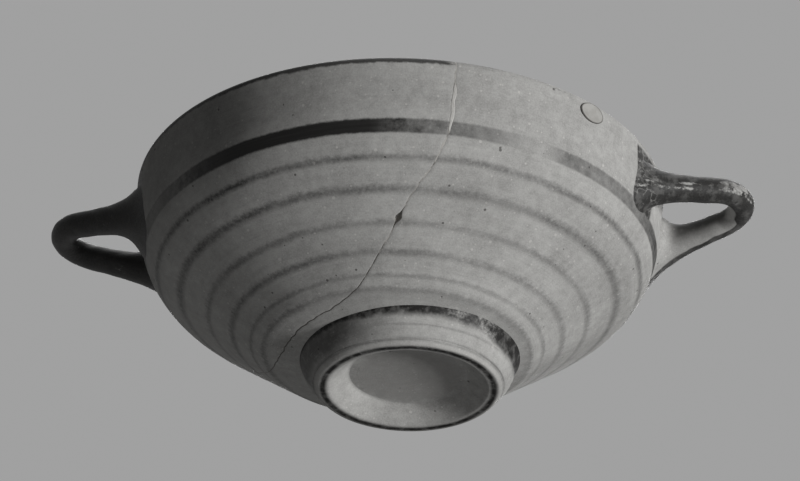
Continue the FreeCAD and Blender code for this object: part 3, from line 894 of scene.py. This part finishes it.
t, ins, outs = new_group("cup_place", [("Shift", FLOAT, 0.0)],
                         [("Bearing", FLOAT), ("Radius", FLOAT), ("Height", FLOAT), ("Wheel", VECTOR),
                          ("Spot", VECTOR)])
place_group = t
metres = node(t, "TexCoord").outputs["Object"]
spot = node(t, "VectorMath", {0: metres, 3: 1 / MM}, operation="SCALE").outputs[0]
axis = node(t, "SeparateXYZ", {0: spot}).outputs
x, y = less(t, axis[0], ins["Shift"]), axis[1]
radius_out = calc(t, "SQRT", plus(t, times(t, x, x), times(t, y, y)))
wheel = node(t, "CombineXYZ", {0: times(t, x, WHEEL_DRAW), 1: times(t, y, WHEEL_DRAW),
                               2: line_of(t, radius_out, 0.8, axis[2])}).outputs[0]
put_out(t, outs, {"Bearing": times(t, calc(t, "ARCTAN2", y, x), 180 / math.pi), "Radius": radius_out,
                  "Height": axis[2], "Wheel": wheel, "Spot": spot})

# %% [markdown]
# ## The clay itself
# Fired clay is never one colour. The wheel draws it into fine streaks, the fire clouds it, grit shows as
# dark points, and knocks leave pale ones. The group gives these as separate numbers. Streaks come from
# noise that is stretched round the pot, which is what a turning wheel does.

# %% Group: clay texture
t, ins, outs = new_group("clay_texture",
                         [("Wheel", VECTOR, None), ("Spot", VECTOR, None), ("Seed", FLOAT, 0.0)],
                         [("Streak", FLOAT), ("Cloud", FLOAT), ("Grain", FLOAT), ("Dark Point", FLOAT),
                          ("Pale Point", FLOAT), ("Relief", FLOAT)])
clay_group = t
wheel, push = ins["Wheel"], node(t, "CombineXYZ", {0: ins["Seed"]}).outputs[0]
moved = node(t, "VectorMath", {0: ins["Spot"], 1: push}, operation="ADD").outputs[0]
fine_streak = noise(t, wheel, 1.15, 4.0, 0.6)
streak = line_of(t, fine_streak, 0.6, times(t, noise(t, wheel, 0.28, 2.0), 0.4))
cloud = line_of(t, noise(t, moved, 0.30, 4.0, 0.65), 0.45, times(t, noise(t, moved, 0.035, 4.0, 0.6), 0.55))
grain = noise(t, moved, 1.9, 3.0, 0.65)


def points_of(scale, size, share, seed):
    """Round points: near the middle of a cell, in a share of the cells, of uneven size."""
    apart = node(t, "VectorMath", {0: moved, 1: (seed, seed, 0)}, operation="ADD").outputs[0]
    cell = node(t, "TexVoronoi", {"Vector": apart, "Scale": scale})
    pick = node(t, "SeparateColor", {0: cell.outputs["Color"]}).outputs
    inside = calc(t, "LESS_THAN", cell.outputs["Distance"], times(t, plus(t, pick[1], 0.5), size))
    return times(t, inside, calc(t, "GREATER_THAN", pick[0], 1 - share))


dark_point = points_of(0.30, 0.10, 0.16, 3.1)
pale_point = most(t, points_of(0.33, 0.12, 0.42, 31.7), points_of(0.60, 0.16, 0.22, 77.0))
relief = plus(t, times(t, grain, 0.55), times(t, fine_streak, 0.6), times(t, dark_point, -0.8),
              times(t, pale_point, -0.4))
put_out(t, outs, {"Streak": streak, "Cloud": cloud, "Grain": grain, "Dark Point": dark_point,
                  "Pale Point": pale_point, "Relief": relief})

# %% [markdown]
# ## Paint that wears
# The dark bands are slip, a thin wash of fine clay, laid on with a brush while the pot turned. Where it
# lay thin or was rubbed it has gone in streaks and crumbs. One group decides how much of the paint is
# left: full where the keep number is 1, none where it is 0, and broken up between. Old paint that dried
# too thick has crazed as well, and the cracks show pale.

# %% Group: what is left of the paint
t, ins, outs = new_group("worn_paint",
                         [("Wheel", VECTOR, None), ("Spot", VECTOR, None), ("Keep", FLOAT, 1.0),
                          ("Brush", FLOAT, 0.5)], [("Left", FLOAT)])
worn_group = t
brush, brushed = ins["Brush"], noise(t, ins["Wheel"], 1.7, 4.0, 0.65)
crumbs, patches = noise(t, ins["Spot"], 0.9, 5.0, 0.7), noise(t, ins["Spot"], 0.16, 3.0, 0.6)
rubbed_off = plus(t, times(t, crumbs, 0.45), times(t, patches, 0.55))
rub = plus(t, times(t, rubbed_off, less(t, 1.0, brush)), times(t, brushed, brush))
level = line_of(t, ins["Keep"], -0.62, 0.80)
put_out(t, outs, {"Left": step(t, less(t, rub, level), -0.11, 0.13)})


def left_of_paint(tree, place, keep, brush):
    """How much of the paint is left here, worn in crumbs (brush 0) or in brush lines (brush 1)."""
    where = {"Wheel": place["Wheel"], "Spot": place["Spot"]}
    return use(tree, worn_group, {**where, "Keep": keep, "Brush": brush})["Left"]


def crack_lines(tree, spot):
    """Fine uneven cracks: the borders between cells, shaken out of line and broken up here and there."""
    push = node(tree, "TexNoise", {"Vector": spot, "Scale": 0.5, "Detail": 3.0}).outputs["Color"]
    shake = {0: push, 1: (2.6, 2.6, 2.6), 2: spot}
    shaken = node(tree, "VectorMath", shake, operation="MULTIPLY_ADD").outputs[0]
    cells = node(tree, "TexVoronoi", {"Vector": shaken, "Scale": 0.30}, feature="DISTANCE_TO_EDGE")
    border = step(tree, cells.outputs["Distance"], 0.075, 0.01)
    return times(tree, border, step(tree, noise(tree, spot, 0.3, 3.0), 0.36, 0.56))


# %% [markdown]
# ## What all finishes begin and end with
# Each finish begins as an empty material that knows its place on the cup, and ends with a colour, a
# roughness and a shallow relief. The bare clay's colour is the same rule everywhere.

# %% Colours of the cup, and the beginning and end of a finish
CLAY = (0.350, 0.347, 0.336)          # the fired clay
CLAY_SHADE = (0.273, 0.270, 0.261)    # the same where the fire clouded it
SLIP = (0.0135, 0.0130, 0.0125)       # the dark wash, thick
PALE = (0.50, 0.49, 0.47)             # knocks and salts
CORE = (0.235, 0.222, 0.205)          # broken clay, with dirt in it
GRIT = (0.06, 0.057, 0.053)           # dark points
PAINTED_RECESS_SHADE = (0.285, 0.280, 0.270)        # painted shade in the hollow under the foot


def new_finish(name, shift=0.0):
    """An empty material, its tree and its place on the cup, about an axis that may be shifted."""
    material = bpy.data.materials.new(name)
    material.use_nodes = True
    tree = material.node_tree
    tree.nodes["Principled BSDF"].inputs["Specular IOR Level"].default_value = 0.16
    return material, tree, use(tree, place_group, {"Shift": shift})


def end_finish(material, colour, roughness, relief, depth):
    """Gives the shader its colour, its roughness and a relief from 0 to 1 of a depth in metres."""
    tree = material.node_tree
    shader = tree.nodes["Principled BSDF"]
    lumps = node(tree, "Bump", {"Height": relief, "Distance": depth, "Strength": 1.0}).outputs[0]
    for title, value in (("Base Color", colour), ("Roughness", roughness), ("Normal", lumps)):
        plug(tree, shader.inputs[title], value)
    print("finish", material.name, "has", len(tree.nodes), "nodes")


def clay_colour(tree, clay):
    """The clay's colour: clouds, streaks and grain between shade and clay, then points on top."""
    tone = plus(tree, times(tree, clay["Streak"], 1.2), times(tree, clay["Cloud"], 5.4),
                times(tree, clay["Grain"], 2.6), -3.98)
    colour = mix(tree, calc(tree, "MINIMUM", most(tree, tone, -0.8), 1.8), CLAY_SHADE, CLAY)
    colour = mix(tree, times(tree, clay["Dark Point"], 0.75), colour, GRIT)
    return mix(tree, times(tree, clay["Pale Point"], 0.55), colour, PALE)


print("clay", CLAY, "slip", SLIP)

# %% [markdown]
# ## The painted wall
# Outside, the wall is bare clay with a broad dark band at the belly and a run of thin faint rings below
# it, a dark line on the lip, and dark panels where the handles are stuck on. The bands were painted with
# a loaded brush while the pot turned, so they keep their height but for a slow waver and a fuzzy edge.
# The right half of the front is rubbed. Inside, the bowl is dark but for a line at the lip and the
# middle, which has a thin ring.

# %% Finish: the bowl's bands
BROAD_BAND = (50.5, 2.25)             # middle and half width, mm of height
THIN_RINGS = ((41.5, 1.05, 0.72), (34.3, 1.05, 0.68), (27.1, 0.85, 0.50), (21.0, 0.90, 0.58),
              (16.2, 0.55, 0.40), (13.4, 0.50, 0.42))     # height, half width, strength
BROAD_DEPTH = ((-180, .50), (-155, .40), (-142, .55), (-131, .90), (-122, 1), (-88, 1), (-80, .72),
               (-66, .52), (-60, .40), (-54, .05), (-48, .03), (-43, .55), (-30, .50), (-14, .55),
               (0, .8), (40, .9), (85, .6), (120, .9), (165, .95), (180, .5))
THIN_KEEP = ((-180, 1), (-120, .98), (-98, .80), (-60, .62), (-20, .75), (60, .6), (140, .9), (180, 1))
LIP_KEEP = ((-180, 1), (-76, 1), (-70, .34), (-30, .22), (0, .45), (30, .8), (90, .5), (130, .85),
            (180, 1))                 # these three: bearing, how much is left there
LIP_LINE = 71.5                       # where the lip's dark line begins, mm of height

clay_bowl, t, place = new_finish("painted_clay_bowl")
spot, round_cup, up_cup = place["Spot"], place["Bearing"], place["Height"]
height = waver(t, up_cup, 0.9, spot, 0.03, 2.0)
fuzzy = waver(t, height, 1.3, spot, 0.6, 3.0, 0.6)

broad = hill(t, line_of(t, fuzzy, 0.5, times(t, height, 0.5)), *BROAD_BAND, 0.45)
depth = by_bearing(t, round_cup, BROAD_DEPTH)
mottle = line_of(t, noise(t, spot, 0.35, 5.0, 0.65), 1.5, 0.28)
mottle = node(t, "Mix", {0: step(t, depth, 0.75, 1.0), 2: mottle, 3: 1.0}, data_type="FLOAT").outputs[0]
broad = times(t, broad, left_of_paint(t, place, 0.99, 0.25), depth, mottle)

rings = [times(t, hill(t, fuzzy, middle, half * 0.75, half * 0.75), strength)
         for middle, half, strength in THIN_RINGS]
thin_left = times(t, line_of(t, noise(t, spot, 0.75, 5.0, 0.7), 1.9, -0.10, clamp=True),
                  line_of(t, noise(t, spot, 0.05, 3.0), 1.9, 0.15))
thin = times(t, most(t, *rings), calc(t, "MINIMUM", thin_left, 1.25), by_bearing(t, round_cup, THIN_KEEP))

lip_edge = line_of(t, noise(t, spot, 0.35, 4.0, 0.6), 2.0, LIP_LINE)
lip = times(t, step(t, less(t, up_cup, lip_edge), -0.45, 0.45, 0.0, 0.88),
            left_of_paint(t, place, by_bearing(t, round_cup, LIP_KEEP), 0.35))
print("bowl finish, bands done:", len(t.nodes), "nodes")

# %% Finish: the bowl's panels, inside and recess
# A handle's roots stand 14 degrees to each side of the X axis; folding the bearing twice makes one
# panel serve all four.
PANEL_INNER = (8.0, 9.6)              # degrees from the X axis: bare within, painted beyond
PANEL_OUTER, PANEL_LEAN, PANEL_MIDDLE = 18.8, 0.14, 62.0   # degrees, degrees a mm of height, height
PANEL_BOTTOM, PANEL_TOP = (51.5, 52.5), (72.6, 71.4)       # from bare to painted, mm of height
UNDER_LIP = (71.2, 70.8)              # inside: bare above the first, painted below the second, mm
MIDDLE_DISC = (8.6, 9.0)              # the bare middle inside, mm of radius
MIDDLE_RING = (5.0, 0.5, 0.15)        # a ring in it: radius, half width, softness
RECESS_EDGE = (22.5, 17.5)            # where the painted shade under the foot fades in, mm from the foot's axis

folded = size_of(t, less(t, size_of(t, round_cup), 90.0))
from_axis = less(t, 90.0, folded)
slant = line_of(t, less(t, up_cup, PANEL_MIDDLE), PANEL_LEAN, PANEL_OUTER)
panel = times(t, step(t, less(t, slant, from_axis), -0.15, 0.35), step(t, from_axis, *PANEL_INNER),
              step(t, up_cup, *PANEL_BOTTOM), step(t, up_cup, *PANEL_TOP))
uncracked = line_of(t, crack_lines(t, spot), -0.62, 1.0)
panel = times(t, panel, uncracked, left_of_paint(t, place, 0.66, 0.1), 0.93)

inside, broken = stored(t, "inside"), stored(t, "broken")
outside_skin, inside_skin = step(t, inside, 0.6, 0.4), step(t, inside, 0.4, 0.6)
middle_paint = most(t, step(t, place["Radius"], *MIDDLE_DISC), hill(t, place["Radius"], *MIDDLE_RING))
outer_paint = times(t, most(t, broad, thin, lip, panel), outside_skin)
inner_paint = times(t, step(t, up_cup, *UNDER_LIP), middle_paint, left_of_paint(t, place, 0.93, 0.4),
                    inside_skin)
paint = times(t, most(t, outer_paint, inner_paint), step(t, broken, 0.6, 0.2))

from_foot_axis = use(t, place_group, {"Shift": FOOT_SHIFT})["Radius"]
# painted shade: a darker disc on the underside inside the foot stands in for the shade of its hollow
recess_shade = step(t, line_of(t, noise(t, spot, 0.25, 4.0, 0.65), 5.0, from_foot_axis), *RECESS_EDGE)
recess_shade = times(t, recess_shade, step(t, up_cup, 8.0, 7.0), outside_skin,
               line_of(t, noise(t, spot, 0.22, 5.0, 0.65), 1.5, 0.0, clamp=True))
clay = use(t, clay_group, {"Wheel": place["Wheel"], "Spot": spot})
clay_tone = mix(t, times(t, recess_shade, 0.85), clay_colour(t, clay), PAINTED_RECESS_SHADE)
clay_tone = mix(t, times(t, step(t, broken, 0.1, 0.9), 0.7), clay_tone, CORE)
laid_on = times(t, paint, line_of(t, clay["Streak"], -0.16, 1.07), clamp=True)
end_finish(clay_bowl, mix(t, laid_on, clay_tone, SLIP),
           line_of(t, paint, -0.30, line_of(t, clay["Grain"], 0.14, 0.72)), clay["Relief"], 0.00010)

# %% [markdown]
# ## The foot's finish
# The foot is the same clay, turned on its own axis. Slip was run into the corner under the bowl, two thin
# lines circle the wall, and the resting edge was dipped: dark on the flat, rubbed pale at the corner.

# %% Finish: the foot
CORNER_KEEP = ((-180, .95), (-110, .95), (-95, .88), (-72, .84), (-58, .66), (-42, .52), (-30, .60),
               (-20, .95), (5, .95), (20, .7), (90, .6), (150, .9), (180, .95))
CORNER_WIDER = ((-180, 0), (-62, 0), (-40, .3), (-22, .95), (8, .9), (30, 0),
                (180, 0))             # bearing, how much further down the wall the paint runs
CORNER_PAINT = (7.2, 9.9)             # where the corner's paint fades in, mm of height
THIN_LINE, LOW_LINE = (5.6, 0.3, 0.5), (1.7, 0.40, 0.5)   # height, half width, softness
FLAT_RING = (29.1, 1.05, 0.7)         # the dipped ring on the flat: radius, half width, softness

clay_foot, t, place = new_finish("clay_foot_ring", FOOT_SHIFT)
spot, round_cup, up_cup, from_axis = place["Spot"], place["Bearing"], place["Height"], place["Radius"]
clay = use(t, clay_group, {"Wheel": place["Wheel"], "Spot": spot, "Seed": 60.0})
soft_height = waver(t, up_cup, 2.6, spot, 0.12, 4.0, 0.6)
blotches = line_of(t, noise(t, spot, 0.28, 5.0, 0.65), 1.5, 0.22, clamp=True)
wider = times(t, by_bearing(t, round_cup, CORNER_WIDER), 2.6)
corner = times(t, step(t, plus(t, soft_height, wider), *CORNER_PAINT),
               left_of_paint(t, place, by_bearing(t, round_cup, CORNER_KEEP), 0.12), blotches)
lines = most(t, times(t, hill(t, up_cup, *THIN_LINE), 0.36), times(t, hill(t, up_cup, *LOW_LINE), 0.58))
lines = times(t, lines, left_of_paint(t, place, 0.56, 0.65))
# darker in blotches on the foot's wall above its lowest few mm, on its left side, full past bearing -128
left_foot_darkening = times(t, step(t, round_cup, -84.0, -128.0), step(t, soft_height, 0.4, 4.5), blotches, 0.66,
              left_of_paint(t, place, 0.72, 0.25))
wall_paint = times(t, most(t, corner, lines, left_foot_darkening), step(t, from_axis, 30.6, 31.2))
flat_side = line_of(t, noise(t, spot, 0.15, 3.0), 0.7, from_axis)
flat = times(t, step(t, up_cup, 0.6, 0.2), hill(t, flat_side, *FLAT_RING),
             left_of_paint(t, place, 0.70, 0.2), blotches, 0.98)
paint = most(t, wall_paint, flat)
rubbed = times(t, hill(t, up_cup, 0.45, 0.45, 0.3), step(t, from_axis, 30.2, 30.6), 0.2)
clay_tone = mix(t, rubbed, clay_colour(t, clay), PALE)
end_finish(clay_foot, mix(t, paint, clay_tone, SLIP),
           line_of(t, paint, -0.26, line_of(t, clay["Grain"], 0.14, 0.72)), clay["Relief"], 0.00011)

# %% [markdown]
# ## The handles' finish
# A brush follows the outside of a handle more easily than the inside, so where a handle was painted in
# haste its outer faces are dark and its inner faces bare. Hands and shelves rub the outermost lines of
# the roll. The back arm's upward faces beyond the root carry painted shade in the slip's dark colour. The
# mesh keeps, at every point, how far it faces outwards and upwards, so that the wear and the painted
# shade can follow the roll.

# %% Finish: the handles
RUBBED_LINES = ((-31, 3.0), (-9, 11.0))   # degrees from the outermost line, down where below 0; noise shift


def handle_finish(name, seed, streak_keep, bare_front, bare_back, crazing):
    """The handles' slip. The keep number says what is left on the rubbed lines and at the tip; the bare
    numbers say how far an arm must face inwards for its clay to be bare."""
    material, t, place = new_finish(name)
    spot = place["Spot"]
    clay = use(t, clay_group, {"Wheel": spot, "Spot": spot, "Seed": seed})
    faces_out, faces_up = stored(t, "faces_out"), stored(t, "faces_up")
    axis = node(t, "SeparateXYZ", {0: spot}).outputs
    reach = size_of(t, axis[0])
    front = step(t, axis[1], 6.5, 3.5)

    bare = line_of(t, front, bare_front - bare_back, bare_back)
    edge = line_of(t, noise(t, spot, 0.13, 3.0), 0.34, -0.17)
    covered = step(t, less(t, plus(t, faces_out, edge), bare), -0.06, 0.06)
    lines = []
    for angle, seed_here in RUBBED_LINES:
        a = math.radians(angle)
        along_line = plus(t, times(t, faces_out, math.cos(a)), times(t, faces_up, math.sin(a)))
        drawn = {0: spot, 1: (0.3, 1.0, 1.0), 2: (seed_here + seed, 0, 0)}
        apart = node(t, "VectorMath", drawn, operation="MULTIPLY_ADD").outputs[0]
        shaken = line_of(t, noise(t, apart, 0.7, 4.0, 0.7), 0.05, along_line)
        lines.append(times(t, step(t, shaken, 1.008, 1.03), step(t, noise(t, apart, 0.13, 4.0), 0.44, 0.58)))
    # the tip and the root are rubbed about the last of these lines
    tip = times(t, step(t, line_of(t, noise(t, spot, 0.4, 3.0), 9.0, reach), 113.0, 117.0),
                step(t, axis[1], -5.5, -7.5), step(t, shaken, 0.80, 0.97),
                step(t, noise(t, apart, 0.30, 4.0, 0.65), 0.36, 0.52))
    by_root = times(t, step(t, reach, 95.0, 89.0), step(t, along_line, 0.55, 0.95), 0.42)
    worn = times(t, most(t, *lines, tip, by_root), front)
    keep = step(t, worn, 0.0, 1.0, 0.84, streak_keep)

    flakes = times(t, step(t, noise(t, spot, 0.24, 5.0, 0.65), 0.46, 0.62), 0.4 * crazing)
    crazed = most(t, times(t, crack_lines(t, spot), step(t, reach, 92.0, 88.5), crazing), flakes)
    # painted shade: the back arm's upward faces beyond the root take the slip's dark colour
    back_arm_painted_shade = times(t, step(t, faces_up, -1.0, 0.10), step(t, reach, 89.0, 95.0), step(t, front, 1.0, 0.0), 0.8)
    paint = most(t, times(t, covered, left_of_paint(t, place, keep, 0.0)), back_arm_painted_shade)
    paint = times(t, paint, less(t, 1.0, crazed))
    laid_on = times(t, paint, line_of(t, clay["Grain"], 0.16, 0.88))
    end_finish(material, mix(t, laid_on, clay_colour(t, clay), SLIP),
               line_of(t, paint, -0.28, line_of(t, clay["Grain"], 0.16, 0.70)),
               line_of(t, paint, 0.2, clay["Grain"]), 0.00010)
    return material


slip_right = handle_finish("rubbed_handle_slip", 20.0, 0.44, -0.60, -0.27, 0.42)
slip_left = handle_finish("thick_handle_slip", 90.0, 0.90, -1.5, -1.5, 0.06)

# %% [markdown]
# ## Glue, plaster and paper
# The glue has gone brown and dull. Plaster is a fine pale powder with a few pits and a grey bloom of
# dust. The paper disc has yellowed, and its fibres and a faint stain keep it from looking like plastic.
# A dark ring round the paper's edge is painted shadow under its lifted edge.

# %% Finishes: glue, plaster and paper
GLUE_TONES = ((0.075, 0.071, 0.065), (0.36, 0.35, 0.33))          # each pair is mixed by a noise
PLASTER_TONES, PIT = ((0.375, 0.368, 0.352), (0.44, 0.432, 0.415)), (0.22, 0.21, 0.20)
PAPER_TONES, FIBRE = ((0.345, 0.340, 0.325), (0.275, 0.268, 0.253)), (0.24, 0.23, 0.21)
# painted shadow under the paper's lifted edge
PAPER_EDGE_SHADOW = (0.07, 0.066, 0.06)

glue_finish, t, place = new_finish("old_glue")
dirt = plus(t, noise(t, place["Spot"], 0.35, 4.0), step(t, place["Height"], 16.0, 32.0, -0.25, 0.06))
colour = mix(t, step(t, dirt, 0.30, 0.60), *GLUE_TONES)
end_finish(glue_finish, colour, line_of(t, dirt, 0.3, 0.45), dirt, 0.0001)

plaster_finish, t, place = new_finish("mender_plaster")
dust, pits = noise(t, place["Spot"], 0.18, 4.0), noise(t, place["Spot"], 2.6, 3.0)
colour = mix(t, step(t, dust, 0.3, 0.7), *PLASTER_TONES)
colour = mix(t, times(t, step(t, pits, 0.60, 0.72), 0.5), colour, PIT)
end_finish(plaster_finish, colour, line_of(t, pits, 0.15, 0.8), plus(t, pits, dust), 0.00012)

paper_finish, t, place = new_finish("bare_paper")
drawn = node(t, "VectorMath", {0: place["Spot"], 1: (1.0, 1.0, 5.0)}, operation="MULTIPLY").outputs[0]
fibre, stain = noise(t, drawn, 1.4, 5.0, 0.7), noise(t, place["Spot"], 0.22, 3.0)
colour = mix(t, step(t, stain, 0.35, 0.70), *PAPER_TONES)
colour = mix(t, times(t, step(t, fibre, 0.52, 0.75), 0.35), colour, FIBRE)
# painted shadow: the outer ring of the paper is darkened
colour = mix(t, times(t, step(t, stored(t, "to_edge"), 0.86, 0.97), 0.85), colour, PAPER_EDGE_SHADOW)
end_finish(paper_finish, colour, line_of(t, fibre, 0.15, 0.8), fibre, 0.00008)

for piece, material in ((main_bowl, clay_bowl), (sherd, clay_bowl), (foot, clay_foot),
                        (handle_right, slip_right), (handle_left, slip_left), (glue, glue_finish),
                        (plaster, plaster_finish), (label, paper_finish)):
    piece.data.materials.append(material)

# %% [markdown]
# ## Floor and light
# The cup stands on a level pale floor. The photograph was taken from below, so the floor is seen from
# its upper side only, and it lets the low lamps reach the foot. Its tone is a painted pool of light,
# brightest near the cup, and far out it fades into a backdrop of its own tone. The lamps are far and
# soft: a strong one low on the right, and weak ones for the rest.

# %% The floor
BACKDROP = (0.355, 0.355, 0.355)
FLOOR_HALF = 0.7                      # half the floor's side, m
FLOOR_TONES = ((0.591, 0.591, 0.591), (0.609, 0.609, 0.609))
FLOOR_LIGHT_POOL = (0.06, 0.27, 0.78)        # a painted pool of light: from, to, and what is left of the tone further out
FLOOR_FADE = (0.30, 0.66)             # where it starts to fade and where it is gone

corners = [(x * FLOOR_HALF, y * FLOOR_HALF, 0) for x, y in ((-1, -1), (1, -1), (1, 1), (-1, 1))]
floor_mesh = bpy.data.meshes.new("floor")
floor_mesh.from_pydata(corners, [], [(0, 1, 2, 3)])
floor = bpy.data.objects.new("floor", floor_mesh)
bpy.context.collection.objects.link(floor)

floor_paper = bpy.data.materials.new("floor_paper")
floor_paper.use_nodes = True
t = floor_paper.node_tree
t.nodes.clear()
spot = node(t, "TexCoord").outputs["Object"]
far = node(t, "VectorMath", {0: spot}, operation="LENGTH").outputs["Value"]
# painted light: the floor is brightest near the cup and dimmer further out
light_pool = step(t, far, FLOOR_LIGHT_POOL[0], FLOOR_LIGHT_POOL[1], 1.0, FLOOR_LIGHT_POOL[2])
tone = mix(t, light_pool, (0.0, 0.0, 0.0), mix(t, noise(t, spot, 40.0), *FLOOR_TONES))
hide = most(t, node(t, "NewGeometry").outputs["Backfacing"], step(t, far, *FLOOR_FADE))
mixed = node(t, "MixShader", {0: hide, 1: node(t, "BsdfDiffuse", {"Color": tone}).outputs[0],
                              2: node(t, "BsdfTransparent").outputs[0]}).outputs[0]
t.links.new(mixed, node(t, "OutputMaterial").inputs["Surface"])
floor_mesh.materials.append(floor_paper)
floor.visible_shadow = floor.visible_diffuse = False
print("floor:", 2 * FLOOR_HALF, "m square, gone", FLOOR_FADE[1], "m from the cup")

# %% The light
AMBIENT = (0.044, 0.044, 0.044)


def lamp(name, bearing, rise, strength, spread):
    """A far lamp at a bearing and a rise in degrees; strength 1 shows white as white."""
    light = bpy.data.lights.new(name, "SUN")
    light.energy = strength * math.pi
    light.angle = math.radians(spread)
    shown = bpy.data.objects.new(name, light)
    a, e = math.radians(bearing), math.radians(rise)
    back_axis = np.array([math.cos(a) * math.cos(e), math.sin(a) * math.cos(e), math.sin(e)])
    side_axis = unit(np.cross([0, 0, 1], back_axis))
    towards = Matrix(np.column_stack([side_axis, np.cross(back_axis, side_axis), back_axis]).tolist())
    shown.matrix_world = towards.to_4x4()
    bpy.context.collection.objects.link(shown)


lamp("key", -26, -13, 1.14, 12)
lamp("below", -90, -80, 0.14, 60)
lamp("overhead", 50, 72, 0.45, 50)
lamp("behind", 92, 32, 0.66, 30)

world = bpy.data.worlds.new("studio")
world.use_nodes = True
bpy.context.scene.world = world
t = world.node_tree
t.nodes.clear()
path = node(t, "LightPath").outputs
seen = most(t, path["Is Camera Ray"], path["Is Glossy Ray"], path["Is Transmission Ray"])
ambient = node(t, "Background", {0: (*AMBIENT, 1)}).outputs[0]
backdrop = node(t, "Background", {0: (*BACKDROP, 1)}).outputs[0]
shown = node(t, "MixShader", {0: seen, 1: ambient, 2: backdrop}).outputs[0]
t.links.new(shown, node(t, "OutputWorld").inputs["Surface"])
bpy.context.scene.view_settings.view_transform = "Standard"

# %% Everything rides on the cup's one body
for piece, solid, slot in (
    (main_bowl, "bowl_main", "clay_body"), (sherd, "bowl_left_sherd", "clay_body"),
    (foot, "foot_ring", "clay_foot"), (handle_left, "handle_left", "handle_slip"),
    (handle_right, "handle_right", "handle_slip"), (glue, "mend_seam", "mend_glue"),
    (plaster, "crack_fill", "mend_plaster"), (label, "wall_label", "label_paper"),
):
    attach(piece, "root")
    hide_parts(solid)
    print(piece.name, "stands for", solid)
